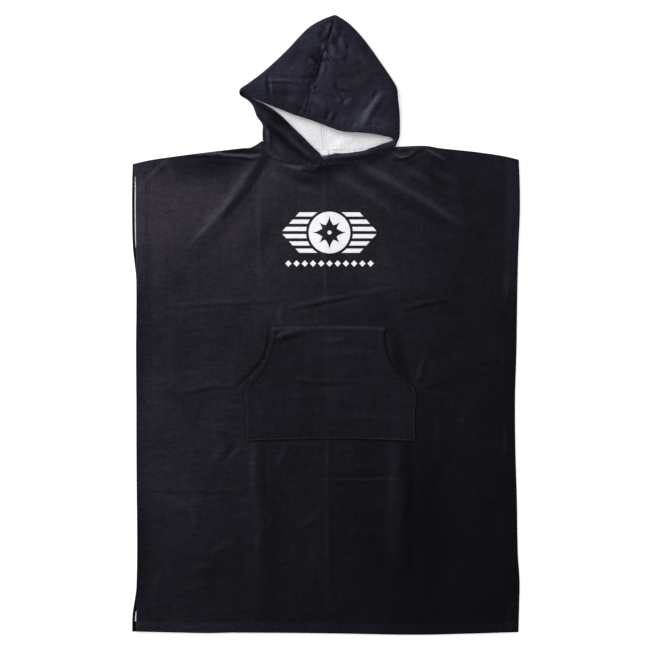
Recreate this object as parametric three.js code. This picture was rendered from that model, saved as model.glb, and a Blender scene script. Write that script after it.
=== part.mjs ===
// Hooded bath poncho of cotton velour terry, laid flat on a surface with its front up.
// Millimetres. +X runs across the body, +Y from the hem to the hood, +Z up from the surface.
// Each panel is a wall of cloth: a grid of points for its upper side, one for its lower side, and
// the edges between them. The body's panels lie on each other. Each half of the hood is one wall
// that runs from the centre back out to the hood's outline, folds over there and comes back on top
// to the edge of the face opening.

import * as THREE from 'three';

// Driving dimensions
const clothThickness = 2;
const seamGap = 0.3;
const neckGap = 0.4;
const hemDepth = 20;
const hemStep = 4;
const hemExtra = 1.2;
const labelLeft = -12;
const labelWidth = 17;
const labelHeight = 11;
const labelThickness = 0.6;

// How finely each panel is divided
const neckColumns = 9;
const mostBetween = 36;
const leastBetween = 10;
const frontRows = 38;
const backNeckColumns = 10;
const backRows = 16;
const underColumns = 5;
const turnColumns = 4;
const pocketColumns = 16;
const pocketRows = 11;

const halfCloth = clothThickness / 2;
const frontUnderside = clothThickness + seamGap;

// The side seams start here, below the open armholes
const armholeFoot = 50;
const armholeFade = 40;

// Outline of the body: its sides at each height, front and back
const frontSides = [
  { y: -634, left: -392.5, right: 398.6 },
  { y: -570, left: -391, right: 400.4 },
  { y: -532, left: -389.8, right: 401 },
  { y: -470, left: -389.1, right: 397.2 },
  { y: -363, left: -389.1, right: 395.4 },
  { y: -260, left: -389.4, right: 392.4 },
  { y: -156, left: -389.6, right: 391.6 },
  { y: -50, left: -390.6, right: 394.6 },
  { y: 50, left: -391.6, right: 396 },
  { y: 150, left: -392.4, right: 398.2 },
  { y: 237, left: -393.5, right: 401.5 },
  { y: 300, left: -396.5, right: 401 },
  { y: 330, left: -399.4, right: 399.6 },
];
const backSides = [
  { y: -634, left: -400.5, right: 396.4 },
  { y: -600, left: -399.5, right: 397.6 },
  { y: -540, left: -391.5, right: 399 },
  { y: -363, left: -389.1, right: 393.3 },
  { y: -156, left: -389.6, right: 389.2 },
  { y: 50, left: -391.2, right: 393.3 },
  { y: 100, left: -392.5, right: 394.5 },
  { y: 160, left: -399, right: 396.8 },
  { y: 237, left: -400.8, right: 400.5 },
  { y: 330, left: -399.5, right: 397 },
];

// Bottom edge, and the upper edge at the shoulders and the neck
const hemLine = [
  { x: -400, y: -634.8 },
  { x: -200, y: -637 },
  { x: 0, y: -638.6 },
  { x: 184, y: -641.6 },
  { x: 300, y: -639.2 },
  { x: 400, y: -636 },
];
const shoulderLeft = [
  { x: -399, y: 332 },
  { x: -363, y: 340 },
  { x: -307, y: 348.3 },
  { x: -241, y: 356.6 },
  { x: -171, y: 364.8 },
  { x: -152, y: 366 },
  { x: -130.7, y: 380 },
];
const shoulderRight = [
  { x: 144.2, y: 367.3 },
  { x: 205, y: 369.6 },
  { x: 236, y: 364.8 },
  { x: 312, y: 356.6 },
  { x: 368, y: 348.3 },
  { x: 399, y: 341 },
];
const neckFrontLeft = [
  { along: 0, x: -130.7, y: 380 },
  { along: 0.12, x: -127.6, y: 360 },
  { along: 0.24, x: -115.2, y: 345 },
  { along: 0.45, x: -88.4, y: 334 },
  { along: 0.7, x: -52, y: 328.5 },
  { along: 1, x: -14, y: 326.6 },
];
const neckFrontRight = [
  { along: 0, x: -14, y: 326.6 },
  { along: 0.3, x: 31.5, y: 333.5 },
  { along: 0.6, x: 85.3, y: 343 },
  { along: 0.8, x: 114, y: 353 },
  { along: 1, x: 144.2, y: 367.3 },
];
const neckBack = [
  { x: -130.7, y: 380 },
  { x: -90, y: 368 },
  { x: -40, y: 362.5 },
  { x: 10, y: 361.4 },
  { x: 80, y: 363.2 },
  { x: 144.2, y: 367.3 },
];

// Folds of the front: a soft ridge along each line from (x1, y1) by (x2, y2) to (x3, y3)
const frontFolds = [
  { x1: -134, y1: 338, x2: -190, y2: 255, x3: -300, y3: 112, height: 7, width: 52 },
  { x1: -84, y1: 290, x2: -122, y2: 220, x3: -210, y3: 120, height: 3, width: 46 },
  { x1: 70, y1: 322, x2: 180, y2: 268, x3: 310, y3: 190, height: 6.5, width: 50 },
  { x1: 70, y1: 262, x2: 140, y2: 210, x3: 230, y3: 130, height: 3, width: 46 },
  { x1: -92, y1: 314, x2: -62, y2: 308, x3: -26, y3: 308, height: 3.5, width: 36 },
  { x1: 152, y1: 346, x2: 190, y2: 344, x3: 226, y3: 330, height: 5, width: 38 },
  { x1: -170, y1: 346, x2: -240, y2: 336, x3: -340, y3: 316, height: 2.5, width: 40 },
  { x1: -6, y1: 290, x2: 2, y2: 150, x3: 4.6, y3: 20, height: 2.5, width: 44 },
  { x1: 5, y1: -262, x2: 6, y2: -430, x3: 4, y3: -640, height: 3, width: 46 },
  { x1: -150, y1: -266, x2: -136, y2: -420, x3: -126, y3: -640, height: 3, width: 44 },
  { x1: 174, y1: -270, x2: 182, y2: -380, x3: 172, y3: -540, height: 4.5, width: 46 },
  { x1: 60, y1: 84, x2: 150, y2: 74, x3: 250, y3: 50, height: 2.5, width: 40 },
  { x1: 210, y1: -112, x2: 260, y2: -92, x3: 330, y3: -84, height: 3, width: 44 },
  { x1: -204, y1: -122, x2: -260, y2: -128, x3: -345, y3: -130, height: 3, width: 42 },
  { x1: 330, y1: 60, x2: 356, y2: 0, x3: 362, y3: -90, height: 3, width: 42 },
];

// Lift of the front where the neck's folded cloth lies under it
const neckLifts = [
  { x: -130.7, y: 380, height: 3.4, reach: 62 },
  { x: -14, y: 326.6, height: 1.4, reach: 50 },
  { x: 144.2, y: 367.3, height: 3.4, reach: 62 },
];

// Outline of the pocket: its sides at each height, and its bowed top and bottom edges
const pocketSides = [
  { y: -237, left: -164.8, right: 185.5 },
  { y: -185, left: -164.6, right: 184.6 },
  { y: -131, left: -164.8, right: 183 },
  { y: -104.4, left: -142.5, right: 149.5 },
  { y: -78, left: -126.8, right: 133 },
  { y: -49, left: -118.8, right: 123.2 },
  { y: -20, left: -110.5, right: 120.2 },
  { y: -7.5, left: -110.5, right: 123.5 },
];
const pocketBow = 3.5;
const pocketTopBow = 1.4;
const pocketPuff = 3.2;
const pocketReach = 3;

// Hood: the seam up the centre back and the seam over the crown, shared by both halves
const backSeam = [
  { along: 0, x: 0.5, y: 361.8 },
  { along: 0.25, x: -7, y: 402 },
  { along: 0.5, x: -14, y: 452 },
  { along: 0.75, x: -10, y: 518 },
  { along: 1, x: 5, y: 585 },
];
const crownSeam = [
  { along: 0, x: 18, y: 634, z: 12 },
  { along: 0.2, x: 7, y: 594, z: 17.5 },
  { along: 0.4, x: -7, y: 552, z: 20 },
  { along: 0.6, x: -21, y: 509, z: 20 },
  { along: 0.8, x: -34.5, y: 468, z: 18 },
  { along: 1, x: -44.5, y: 426.5, z: 15 },
];

// Hood halves, by rows from the neck (0) to the crown seam (1): the outline where the cloth folds
// (fx, fy), the way it bulges there in degrees, the fold's radius, the edge of the face opening
// (ex, ey) with its height (ez), and how far the cloth between them is puffed
const hoodLeftRows = [
  { row: 0, fx: -130.7, fy: 380.3, way: 180, radius: 2.8, ex: -14.2, ey: 327, ez: 4.7, puff: 0 },
  { row: 0.06, fx: -130.6, fy: 386, way: 180, radius: 2.8, ex: -10, ey: 347.5, ez: 5.4, puff: 0.5 },
  { row: 0.17, fx: -130.2, fy: 396, way: 180, radius: 3, ex: -34, ey: 374.3, ez: 6.4, puff: 2 },
  { row: 0.27, fx: -130.4, fy: 414, way: 184, radius: 3, ex: -66, ey: 406, ez: 7, puff: 2.5 },
  { row: 0.36, fx: -142, fy: 431, way: 206, radius: 3, ex: -98, ey: 436.5, ez: 7, puff: 1.5 },
  { row: 0.43, fx: -151, fy: 452, way: 208, radius: 2.6, ex: -127, ey: 455.5, ez: 5.8, puff: 0.5 },
  { row: 0.47, fx: -164, fy: 464.5, way: 216, radius: 2.4, ex: -149, ey: 465.5, ez: 5.6, puff: 0 },
  { row: 0.5, fx: -177.5, fy: 474.5, way: 196, radius: 2.4, ex: -167.5, ey: 474, ez: 6.2, puff: 0 },
  { row: 0.53, fx: -177.5, fy: 486.5, way: 146, radius: 2.8, ex: -164, ey: 471.5, ez: 8.6, puff: 0 },
  { row: 0.58, fx: -163, fy: 497, way: 132, radius: 3.6, ex: -148, ey: 464, ez: 10.6, puff: 1 },
  { row: 0.67, fx: -129.7, fy: 521.9, way: 128, radius: 5, ex: -119, ey: 453.5, ez: 12.6, puff: 4 },
  { row: 0.78, fx: -84.2, fy: 563.3, way: 132, radius: 6, ex: -88, ey: 442, ez: 14, puff: 7 },
  { row: 0.89, fx: -38.5, fy: 612.5, way: 128, radius: 6, ex: -66, ey: 433, ez: 15, puff: 8 },
  { row: 0.95, fx: -9.5, fy: 631.5, way: 114, radius: 6, ex: -54, ey: 429.5, ez: 15, puff: 5 },
  { row: 1, fx: 20.2, fy: 640.8, way: 75, radius: 5.5, ex: -44.5, ey: 426.5, ez: 15, puff: 0 },
];
const hoodRightRows = [
  { row: 0, fx: 144.2, fy: 367.6, way: 0, radius: 2.8, ex: -13.8, ey: 327, ez: 4.7, puff: 0 },
  { row: 0.06, fx: 145, fy: 369.5, way: 0, radius: 2.8, ex: -8.6, ey: 346.2, ez: 4.8, puff: 0.3 },
  { row: 0.12, fx: 146, fy: 371.5, way: -6, radius: 2.8, ex: 12, ey: 352.8, ez: 5, puff: 0.5 },
  { row: 0.2, fx: 147, fy: 374, way: -12, radius: 2.8, ex: 50, ey: 359, ez: 5.4, puff: 0.8 },
  { row: 0.28, fx: 148.2, fy: 377, way: -16, radius: 2.8, ex: 86, ey: 364.8, ez: 5.8, puff: 0.8 },
  { row: 0.36, fx: 149.6, fy: 380.5, way: -18, radius: 2.8, ex: 112, ey: 371, ez: 6, puff: 0.5 },
  { row: 0.44, fx: 151.6, fy: 384.5, way: -16, radius: 2.8, ex: 132, ey: 375.5, ez: 6.2, puff: 0.3 },
  { row: 0.5, fx: 152.8, fy: 389, way: -10, radius: 2.8, ex: 140.6, ey: 379.4, ez: 6.6, puff: 0 },
  { row: 0.55, fx: 153.4, fy: 398, way: -3, radius: 3.2, ex: 134, ey: 386, ez: 8, puff: 0.5 },
  { row: 0.6, fx: 153.5, fy: 414, way: 0, radius: 4, ex: 121, ey: 390.8, ez: 10, puff: 2 },
  { row: 0.67, fx: 153.2, fy: 438, way: 2, radius: 5, ex: 98, ey: 390.6, ez: 12.5, puff: 4.5 },
  { row: 0.74, fx: 151.2, fy: 468, way: 5, radius: 6, ex: 66, ey: 393.5, ez: 14, puff: 7 },
  { row: 0.775, fx: 149, fy: 488, way: 18, radius: 6, ex: 50, ey: 397, ez: 14.6, puff: 7.5 },
  { row: 0.82, fx: 137.5, fy: 509, way: 32, radius: 6, ex: 32, ey: 401.5, ez: 15, puff: 8 },
  { row: 0.88, fx: 112.8, fy: 546.7, way: 38, radius: 6, ex: 6, ey: 409.5, ez: 15.4, puff: 8.5 },
  { row: 0.93, fx: 81.5, fy: 590.5, way: 42, radius: 6, ex: -14, ey: 416, ez: 15.2, puff: 8 },
  { row: 0.97, fx: 50.5, fy: 623.5, way: 52, radius: 6, ex: -31, ey: 422, ez: 15.2, puff: 5 },
  { row: 1, fx: 20.2, fy: 640.8, way: 75, radius: 5.5, ex: -44.5, ey: 426.5, ez: 15, puff: 0 },
];
const hoodRowPlaces = [
  0, 0.06, 0.12, 0.17, 0.22, 0.27, 0.32, 0.36, 0.4, 0.44, 0.47, 0.5,
  0.53, 0.56, 0.6, 0.65, 0.7, 0.75, 0.81, 0.87, 0.93, 0.97, 1,
];

// Folds pressed into the hood's upper layer, as the front's
const hoodFolds = [
  { x1: -122, y1: 432, x2: -80, y2: 392, x3: -40, y3: 352, height: 2.5, width: 32 },
  { x1: 66, y1: 402, x2: 92, y2: 440, x3: 122, y3: 484, height: 3.5, width: 34 },
  { x1: -110, y1: 490, x2: -76, y2: 500, x3: -34, y3: 506, height: 2.5, width: 32 },
];
const neckFade = 0.3;
const crownFade = 0.2;

// Smooth value of one column of a table at a place between its rows
function read(table, by, column, at) {
  const last = table.length - 1;
  if (at <= table[0][by]) return table[0][column];
  if (at >= table[last][by]) return table[last][column];
  let i = 0;
  while (table[i + 1][by] < at) i += 1;
  const slope = (a, b) => (table[b][column] - table[a][column]) / (table[b][by] - table[a][by]);
  const before = slope(Math.max(i - 1, 0), i + 1);
  const after = slope(i, Math.min(i + 2, last));
  const span = table[i + 1][by] - table[i][by];
  const p = (at - table[i][by]) / span;
  const rise = table[i + 1][column] - table[i][column];
  const bend = before * span * p * (1 - p) ** 2 - after * span * p * p * (1 - p);
  return table[i][column] + rise * p * p * (3 - 2 * p) + bend;
}

const mix = (a, b, p) => a + (b - a) * p;

const clamp01 = (p) => Math.min(1, Math.max(0, p));

const easeInOut = (p) => clamp01(p) ** 2 * (3 - 2 * clamp01(p));

// Distance from a point to the stretch a to b, and how far along it the nearest place is
function nearStretch(x, y, ax, ay, bx, by) {
  const length = Math.hypot(bx - ax, by - ay);
  const p = clamp01(((x - ax) * (bx - ax) + (y - ay) * (by - ay)) / length ** 2);
  return { away: Math.hypot(x - mix(ax, bx, p), y - mix(ay, by, p)), along: p * length, length };
}

// Height that the folds in a table give at a point: each is highest halfway along
function foldHeight(folds, x, y) {
  let height = 0;
  for (const fold of folds) {
    const first = nearStretch(x, y, fold.x1, fold.y1, fold.x2, fold.y2);
    const second = nearStretch(x, y, fold.x2, fold.y2, fold.x3, fold.y3);
    const near = first.away < second.away ? first : second;
    const along = first.away < second.away ? first.along : first.length + second.along;
    const place = along / (first.length + second.length);
    const taper = Math.sin(Math.PI * mix(0.12, 0.88, place));
    height += fold.height * taper * easeInOut(1 - near.away / fold.width);
  }
  return height;
}

function neckLift(x, y) {
  let height = 0;
  for (const lift of neckLifts) {
    height += lift.height * easeInOut(1 - Math.hypot(x - lift.x, y - lift.y) / lift.reach);
  }
  return height;
}

const frontRise = (x, y) => foldHeight(frontFolds, x, y) + neckLift(x, y);

// Closed solid between an upper and a lower grid of points of the same size
function wall(upper, lower) {
  const rows = upper.length;
  const columns = upper[0].length;
  const positions = [upper, lower].flat(2).flatMap((p) => [p.x, p.y, p.z]);
  const top = (i, j) => i * columns + j;
  const bottom = (i, j) => rows * columns + top(i, j);
  const faces = [];
  const addQuad = (a, b, c, d) => faces.push(a, b, c, a, c, d);
  for (let i = 0; i < rows - 1; i += 1) {
    for (let j = 0; j < columns - 1; j += 1) {
      const risingIsShort = upper[i][j].distanceTo(upper[i + 1][j + 1])
        < upper[i][j + 1].distanceTo(upper[i + 1][j]);
      if (risingIsShort) {
        addQuad(top(i, j), top(i, j + 1), top(i + 1, j + 1), top(i + 1, j));
        addQuad(bottom(i, j), bottom(i + 1, j), bottom(i + 1, j + 1), bottom(i, j + 1));
      } else {
        addQuad(top(i, j + 1), top(i + 1, j + 1), top(i + 1, j), top(i, j));
        addQuad(bottom(i, j + 1), bottom(i, j), bottom(i + 1, j), bottom(i + 1, j + 1));
      }
    }
  }
  for (let i = 0; i < rows - 1; i += 1) {
    addQuad(top(i, 0), top(i + 1, 0), bottom(i + 1, 0), bottom(i, 0));
    const last = columns - 1;
    addQuad(top(i + 1, last), top(i, last), bottom(i, last), bottom(i + 1, last));
  }
  for (let j = 0; j < columns - 1; j += 1) {
    addQuad(top(0, j + 1), top(0, j), bottom(0, j), bottom(0, j + 1));
    addQuad(top(rows - 1, j), top(rows - 1, j + 1), bottom(rows - 1, j + 1), bottom(rows - 1, j));
  }
  const geometry = new THREE.BufferGeometry();
  geometry.setAttribute('position', new THREE.Float32BufferAttribute(positions, 3));
  geometry.setIndex(volumeOf(positions, faces) < 0 ? faces.reverse() : faces);
  geometry.computeVertexNormals();
  return geometry;
}

function volumeOf(positions, faces) {
  const corner = (index) => new THREE.Vector3().fromArray(positions, index * 3);
  let volume = 0;
  for (let f = 0; f < faces.length; f += 3) {
    volume += corner(faces[f]).dot(corner(faces[f + 1]).cross(corner(faces[f + 2]))) / 6;
  }
  return volume;
}

function clothMesh(name, upper, lower, colour, roughness) {
  const material = new THREE.MeshStandardMaterial({ color: colour, roughness, metalness: 0 });
  const mesh = new THREE.Mesh(wall(upper, lower), material);
  mesh.name = name;
  return mesh;
}

// Places from 0 to 1 across a span
function evenly(count) {
  return Array.from({ length: count + 1 }, (_, i) => i / count);
}

// Distances from a panel's edge to its hem's edge, and to either side of the hem's inner edge
const hemBand = [0, hemDepth - hemStep / 2, hemDepth + hemStep / 2];

// Points of a shoulder from the panel's edge inwards: its hem's, and then each place of its table,
// with one more between two that lie far apart
function shoulderPoints(table, edgeX, between) {
  const inward = edgeX < 0 ? 1 : -1;
  const hem = hemBand.map((d) => edgeX + inward * d);
  const inside = table.map((row) => row.x).filter((x) => (x - hem[2]) * inward > leastBetween);
  const ordered = inward > 0 ? inside : inside.reverse();
  const steps = [hem[2], ...ordered];
  const all = hem.slice(0, 2);
  steps.forEach((x, i) => {
    all.push(x);
    const next = steps[i + 1];
    if (next !== undefined && Math.abs(next - x) > between) all.push(mix(x, next, 0.5));
  });
  return all.map((x) => new THREE.Vector2(x, read(table, 'x', 'y', x)));
}

// The body's upper edge as a row of points: shoulder, neck, shoulder
function topEdge(between, neckPoints, left, right) {
  const leftShoulder = shoulderPoints(shoulderLeft, left, between);
  const rightShoulder = shoulderPoints(shoulderRight, right, between).reverse();
  const edge = [...leftShoulder, ...neckPoints, ...rightShoulder];
  edge.neckFrom = leftShoulder.length - 1;
  return edge;
}

function neckFrontPoints(count) {
  const at = (table, p) => new THREE.Vector2(read(table, 'along', 'x', p), read(table, 'along', 'y', p));
  const left = evenly(count).slice(1).map((p) => at(neckFrontLeft, p));
  const right = evenly(count).slice(1, -1).map((p) => at(neckFrontRight, p));
  return [...left, ...right];
}

function neckBackPoints(count) {
  const from = neckBack[0].x;
  const to = neckBack.at(-1).x;
  const inside = evenly(count).slice(1, -1).map((p) => mix(from, to, p));
  return inside.map((x) => new THREE.Vector2(x, read(neckBack, 'x', 'y', x)));
}

// Points of a body panel, from the hem up: each column runs from the hem to a point of the top edge
function bodyGrid(edge, sides, rowCount) {
  const sideTop = sides.at(-1);
  const sideFoot = sides[0];
  const length = edge[0].y - sideFoot.y;
  const inHem = [0, (hemDepth - hemStep / 2) / length, (hemDepth + hemStep / 2) / length];
  const rest = evenly(rowCount).slice(1).map((p) => mix(inHem[2], 1, p));
  return [...inHem, ...rest].map((row) => edge.map((top) => {
    const share = (top.x - sideTop.left) / (sideTop.right - sideTop.left);
    const footY = read(hemLine, 'x', 'y', mix(sideFoot.left, sideFoot.right, share));
    const y = mix(footY, top.y, row);
    const left = read(sides, 'y', 'left', y);
    const right = read(sides, 'y', 'right', y);
    return new THREE.Vector2(mix(left, right, share), y);
  }));
}

// Front panel, with its folds; the hems at the bottom and the armholes are thicker on top
function frontPanel() {
  const top = frontSides.at(-1);
  const edge = topEdge(mostBetween, neckFrontPoints(neckColumns), top.left, top.right);
  const grid = bodyGrid(edge, frontSides, frontRows);
  const lastColumn = edge.length - 1;
  const lower = grid.map((line) => line.map(
    (p) => new THREE.Vector3(p.x, p.y, frontUnderside + frontRise(p.x, p.y)),
  ));
  const upper = lower.map((line, i) => line.map((p, j) => {
    const atSide = Math.min(j, lastColumn - j) < 2 ? clamp01((p.y - armholeFoot) / armholeFade) : 0;
    const atHem = i < 2 ? 1 : 0;
    const extra = hemExtra * Math.max(atSide, atHem);
    return new THREE.Vector3(p.x, p.y, p.z + clothThickness + extra);
  }));
  return { lower, upper, neckFrom: edge.neckFrom };
}

// Back panel, flat on the surface
function backPanel() {
  const top = backSides.at(-1);
  const edge = topEdge(Infinity, neckBackPoints(backNeckColumns), top.left, top.right);
  const grid = bodyGrid(edge, backSides, backRows);
  const lower = grid.map((line) => line.map((p) => new THREE.Vector3(p.x, p.y, 0)));
  const upper = grid.map((line) => line.map((p) => new THREE.Vector3(p.x, p.y, clothThickness)));
  return { lower, upper };
}

// Height of the front's upper side at a point, on its own triangles' grid
function heightOn(panel, x, y) {
  const rows = panel.length;
  const columns = panel[0].length;
  for (let i = 0; i < rows - 1; i += 1) {
    for (let j = 0; j < columns - 1; j += 1) {
      const [a, b, c, d] = [panel[i][j], panel[i][j + 1], panel[i + 1][j + 1], panel[i + 1][j]];
      if (x < Math.min(a.x, d.x) || x > Math.max(b.x, c.x)) continue;
      if (y < Math.min(a.y, b.y) || y > Math.max(c.y, d.y)) continue;
      const across = clamp01((x - mix(a.x, d.x, 0.5)) / (mix(b.x, c.x, 0.5) - mix(a.x, d.x, 0.5)));
      const up = clamp01((y - mix(a.y, b.y, across)) / (mix(d.y, c.y, across) - mix(a.y, b.y, across)));
      return mix(mix(a.z, b.z, across), mix(d.z, c.z, across), up);
    }
  }
  return 0;
}

// Pouch pocket: lies on the front's points, moved out, and stands off it a little in its middle
function kangarooPocket(frontUpper) {
  const foot = pocketSides[0].y;
  const head = pocketSides[pocketSides.length - 1].y;
  const lower = evenly(pocketRows).map((row) => evenly(pocketColumns).map((column) => {
    const side = mix(foot, head, row);
    const x = mix(read(pocketSides, 'y', 'left', side), read(pocketSides, 'y', 'right', side), column);
    const y = side - mix(pocketBow, pocketTopBow, row) * Math.sin(Math.PI * column);
    const puff = pocketPuff * (Math.sin(Math.PI * column) * Math.sin(Math.PI * row)) ** 0.7;
    const heights = [-pocketReach, 0, pocketReach].map((aside) => heightOn(frontUpper, x + aside, y));
    return new THREE.Vector3(x, y, Math.max(...heights) + seamGap + puff);
  }));
  const upper = lower.map((line) => line.map((p) => new THREE.Vector3(p.x, p.y, p.z + clothThickness)));
  return { lower, upper };
}

// One half of the hood as a line of points for each row, along the middle of the cloth
function hoodLines(rows, side, neckPoints) {
  return hoodRowPlaces.map((row) => {
    const at = (column) => read(rows, 'row', column, row);
    const way = THREE.MathUtils.degToRad(at('way'));
    const out = new THREE.Vector2(Math.cos(way), Math.sin(way));
    const radius = at('radius');
    const turn = new THREE.Vector2(at('fx'), at('fy')).addScaledVector(out, -(radius + halfCloth));
    const seam = new THREE.Vector2(read(backSeam, 'along', 'x', row), read(backSeam, 'along', 'y', row));
    seam.x += side * seamGap / 2;
    if (row === 1) turn.x += side * seamGap / 2;
    const line = [];
    for (const p of evenly(underColumns).slice(0, -1)) {
      line.push(new THREE.Vector3(mix(seam.x, turn.x, p), mix(seam.y, turn.y, p), halfCloth));
    }
    for (const p of evenly(turnColumns)) {
      const angle = Math.PI * p;
      const reach = radius * Math.sin(angle);
      const z = halfCloth + radius * (1 - Math.cos(angle));
      line.push(new THREE.Vector3(turn.x + out.x * reach, turn.y + out.y * reach, z));
    }
    const turnTop = line[line.length - 1];
    const edge = new THREE.Vector3(at('ex'), at('ey'), at('ez'));
    const neckStart = neckPoints[0];
    const neckEnd = neckPoints[neckPoints.length - 1];
    const crownEnds = [crownSeam[0], crownSeam[crownSeam.length - 1]];
    const neckShare = clamp01(1 - row / neckFade) ** 2;
    const crownShare = easeInOut((row - 1 + crownFade) / crownFade);
    for (const p of evenly(neckColumns).slice(1)) {
      const point = turnTop.clone().lerp(edge, p);
      point.z += at('puff') * Math.sin(Math.PI * p);
      const straightNeck = neckStart.clone().lerp(neckEnd, p);
      const onNeck = neckPoints[Math.round(p * neckColumns)];
      point.addScaledVector(onNeck.clone().sub(straightNeck), neckShare);
      for (const axis of ['x', 'y', 'z']) {
        const straight = mix(crownEnds[0][axis], crownEnds[1][axis], p);
        point[axis] += (read(crownSeam, 'along', axis, p) - straight) * crownShare;
      }
      point.z += foldHeight(hoodFolds, point.x, point.y) * easeInOut(row / neckFade) * (1 - crownShare);
      line.push(point);
    }
    return line;
  });
}

// Upper and lower points of a wall along the normals of its middle points
function thicken(lines, side) {
  const rows = lines.length;
  const columns = lines[0].length;
  const within = (index, count) => Math.min(Math.max(index, 0), count - 1);
  const neighbour = (i, j) => lines[within(i, rows)][within(j, columns)];
  const hemFrom = columns - 2;
  const outer = [];
  const inner = [];
  for (let i = 0; i < rows; i += 1) {
    outer.push([]);
    inner.push([]);
    for (let j = 0; j < columns; j += 1) {
      const upRows = neighbour(i + 1, j).clone().sub(neighbour(i - 1, j));
      const acrossRows = neighbour(i, j + 1).clone().sub(neighbour(i, j - 1));
      const normal = upRows.cross(acrossRows).multiplyScalar(side);
      if (i === 0) normal.y = 0;
      if (i === rows - 1) normal.x = 0;
      if (j <= underColumns - 1) normal.set(0, 0, -1);
      normal.normalize();
      const extra = j >= hemFrom ? hemExtra / 2 : 0;
      outer[i].push(lines[i][j].clone().addScaledVector(normal, halfCloth + extra));
      inner[i].push(lines[i][j].clone().addScaledVector(normal, -halfCloth));
    }
  }
  return { upper: outer, lower: inner };
}

// Neck edge of a half of the hood: the front's own neck points, moved off by the seam's gap
function hoodNeck(front, side) {
  const topRow = front.lower.length - 1;
  const centre = front.neckFrom + neckColumns;
  const indices = evenly(neckColumns).map((p) => (side < 0
    ? front.neckFrom + Math.round(p * neckColumns)
    : centre + neckColumns - Math.round(p * neckColumns)));
  return indices.map((index) => {
    const low = front.lower[topRow][index];
    const middle = new THREE.Vector3(low.x, low.y + neckGap, low.z + halfCloth);
    if (index === centre) middle.x += side * seamGap / 2;
    return middle;
  });
}

function hoodHalf(rows, side, front) {
  const neckPoints = hoodNeck(front, side);
  const lines = hoodLines(rows, side, neckPoints);
  const first = lines[0];
  for (let j = 0; j < underColumns; j += 1) {
    first[j].y = read(neckBack, 'x', 'y', first[j].x) + seamGap;
  }
  for (let j = 1; j < neckPoints.length; j += 1) {
    first[underColumns + turnColumns + j].copy(neckPoints[j]);
  }
  return thicken(lines, side);
}

// Small folded label that hangs from the back of the neck, inside
function neckLabel() {
  const seamY = read(neckBack, 'x', 'y', labelLeft) - 2 * seamGap;
  const at = (z) => [seamY - labelHeight, seamY].map((y) => evenly(2).map(
    (p) => new THREE.Vector3(labelLeft + labelWidth * p, y, z),
  ));
  return { lower: at(frontUnderside), upper: at(frontUnderside + labelThickness) };
}

const front = frontPanel();
const back = backPanel();
const pocket = kangarooPocket(front.upper);
const hoodLeft = hoodHalf(hoodLeftRows, -1, front);
const hoodRight = hoodHalf(hoodRightRows, 1, front);
const label = neckLabel();

const poncho = new THREE.Group();
poncho.add(clothMesh('back_panel', back.upper, back.lower, 0x1b1a20, 0.95));
poncho.add(clothMesh('front_panel', front.upper, front.lower, 0x201e26, 0.95));
poncho.add(clothMesh('kangaroo_pocket', pocket.upper, pocket.lower, 0x211f27, 0.95));
poncho.add(clothMesh('hood_left', hoodLeft.upper, hoodLeft.lower, 0x2a2a38, 0.95));
poncho.add(clothMesh('hood_right', hoodRight.upper, hoodRight.lower, 0x2b2b3a, 0.95));
poncho.add(clothMesh('neck_label', label.upper, label.lower, 0xe2e2e6, 0.8));

// The origin is under the middle of the whole outline, on the surface
const box = new THREE.Box3().setFromObject(poncho);
const middle = box.getCenter(new THREE.Vector3());
poncho.position.set(-middle.x, -middle.y, -box.min.z);

export default poncho;
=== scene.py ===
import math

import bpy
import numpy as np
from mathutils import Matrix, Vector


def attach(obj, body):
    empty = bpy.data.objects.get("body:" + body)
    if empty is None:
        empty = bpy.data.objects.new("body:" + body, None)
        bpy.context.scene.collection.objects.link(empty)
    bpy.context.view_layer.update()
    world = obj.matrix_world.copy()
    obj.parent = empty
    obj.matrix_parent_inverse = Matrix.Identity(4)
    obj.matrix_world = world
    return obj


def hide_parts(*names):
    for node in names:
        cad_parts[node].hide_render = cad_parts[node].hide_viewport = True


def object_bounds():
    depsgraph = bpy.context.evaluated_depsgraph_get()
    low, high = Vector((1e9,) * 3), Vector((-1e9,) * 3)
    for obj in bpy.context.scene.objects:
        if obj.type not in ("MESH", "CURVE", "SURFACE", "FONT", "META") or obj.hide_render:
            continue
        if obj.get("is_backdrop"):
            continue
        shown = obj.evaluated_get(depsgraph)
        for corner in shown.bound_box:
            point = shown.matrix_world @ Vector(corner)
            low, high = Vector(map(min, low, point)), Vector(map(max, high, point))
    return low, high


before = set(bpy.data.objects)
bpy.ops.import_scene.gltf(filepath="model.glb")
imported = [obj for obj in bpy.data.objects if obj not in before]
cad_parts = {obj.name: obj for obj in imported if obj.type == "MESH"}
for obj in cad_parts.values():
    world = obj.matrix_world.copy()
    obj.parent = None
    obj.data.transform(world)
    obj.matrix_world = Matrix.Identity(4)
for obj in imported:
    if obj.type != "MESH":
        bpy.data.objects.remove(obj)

# Hooded bath poncho of cotton velour terry, laid flat with its front up: cloth, sewing, print,
# light and camera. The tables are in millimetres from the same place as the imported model's, and
# everything is turned into metres when a mesh is made. Each panel is a closed wall of cloth between
# two grids of points, dark cut pile outside and white loops inside.

cad_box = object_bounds()

MM = 0.001
ORIGIN = np.array([-0.37, 0.40, 0.0])  # moves the tables' places under the middle of the outline

# Cloth, in millimetres
CLOTH = 2.0
HALF_CLOTH = CLOTH / 2
SEAM_GAP = 0.3  # between panels that are sewn together
NECK_GAP = 0.4
FRONT_UNDERSIDE = CLOTH + SEAM_GAP
ROUNDING = 1.4
LEAST_FULLNESS = 0.22  # share of the thickness that is left at an edge
FAR = 1000.0  # distance from an edge that a stretch of cloth doesn't have

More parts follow.
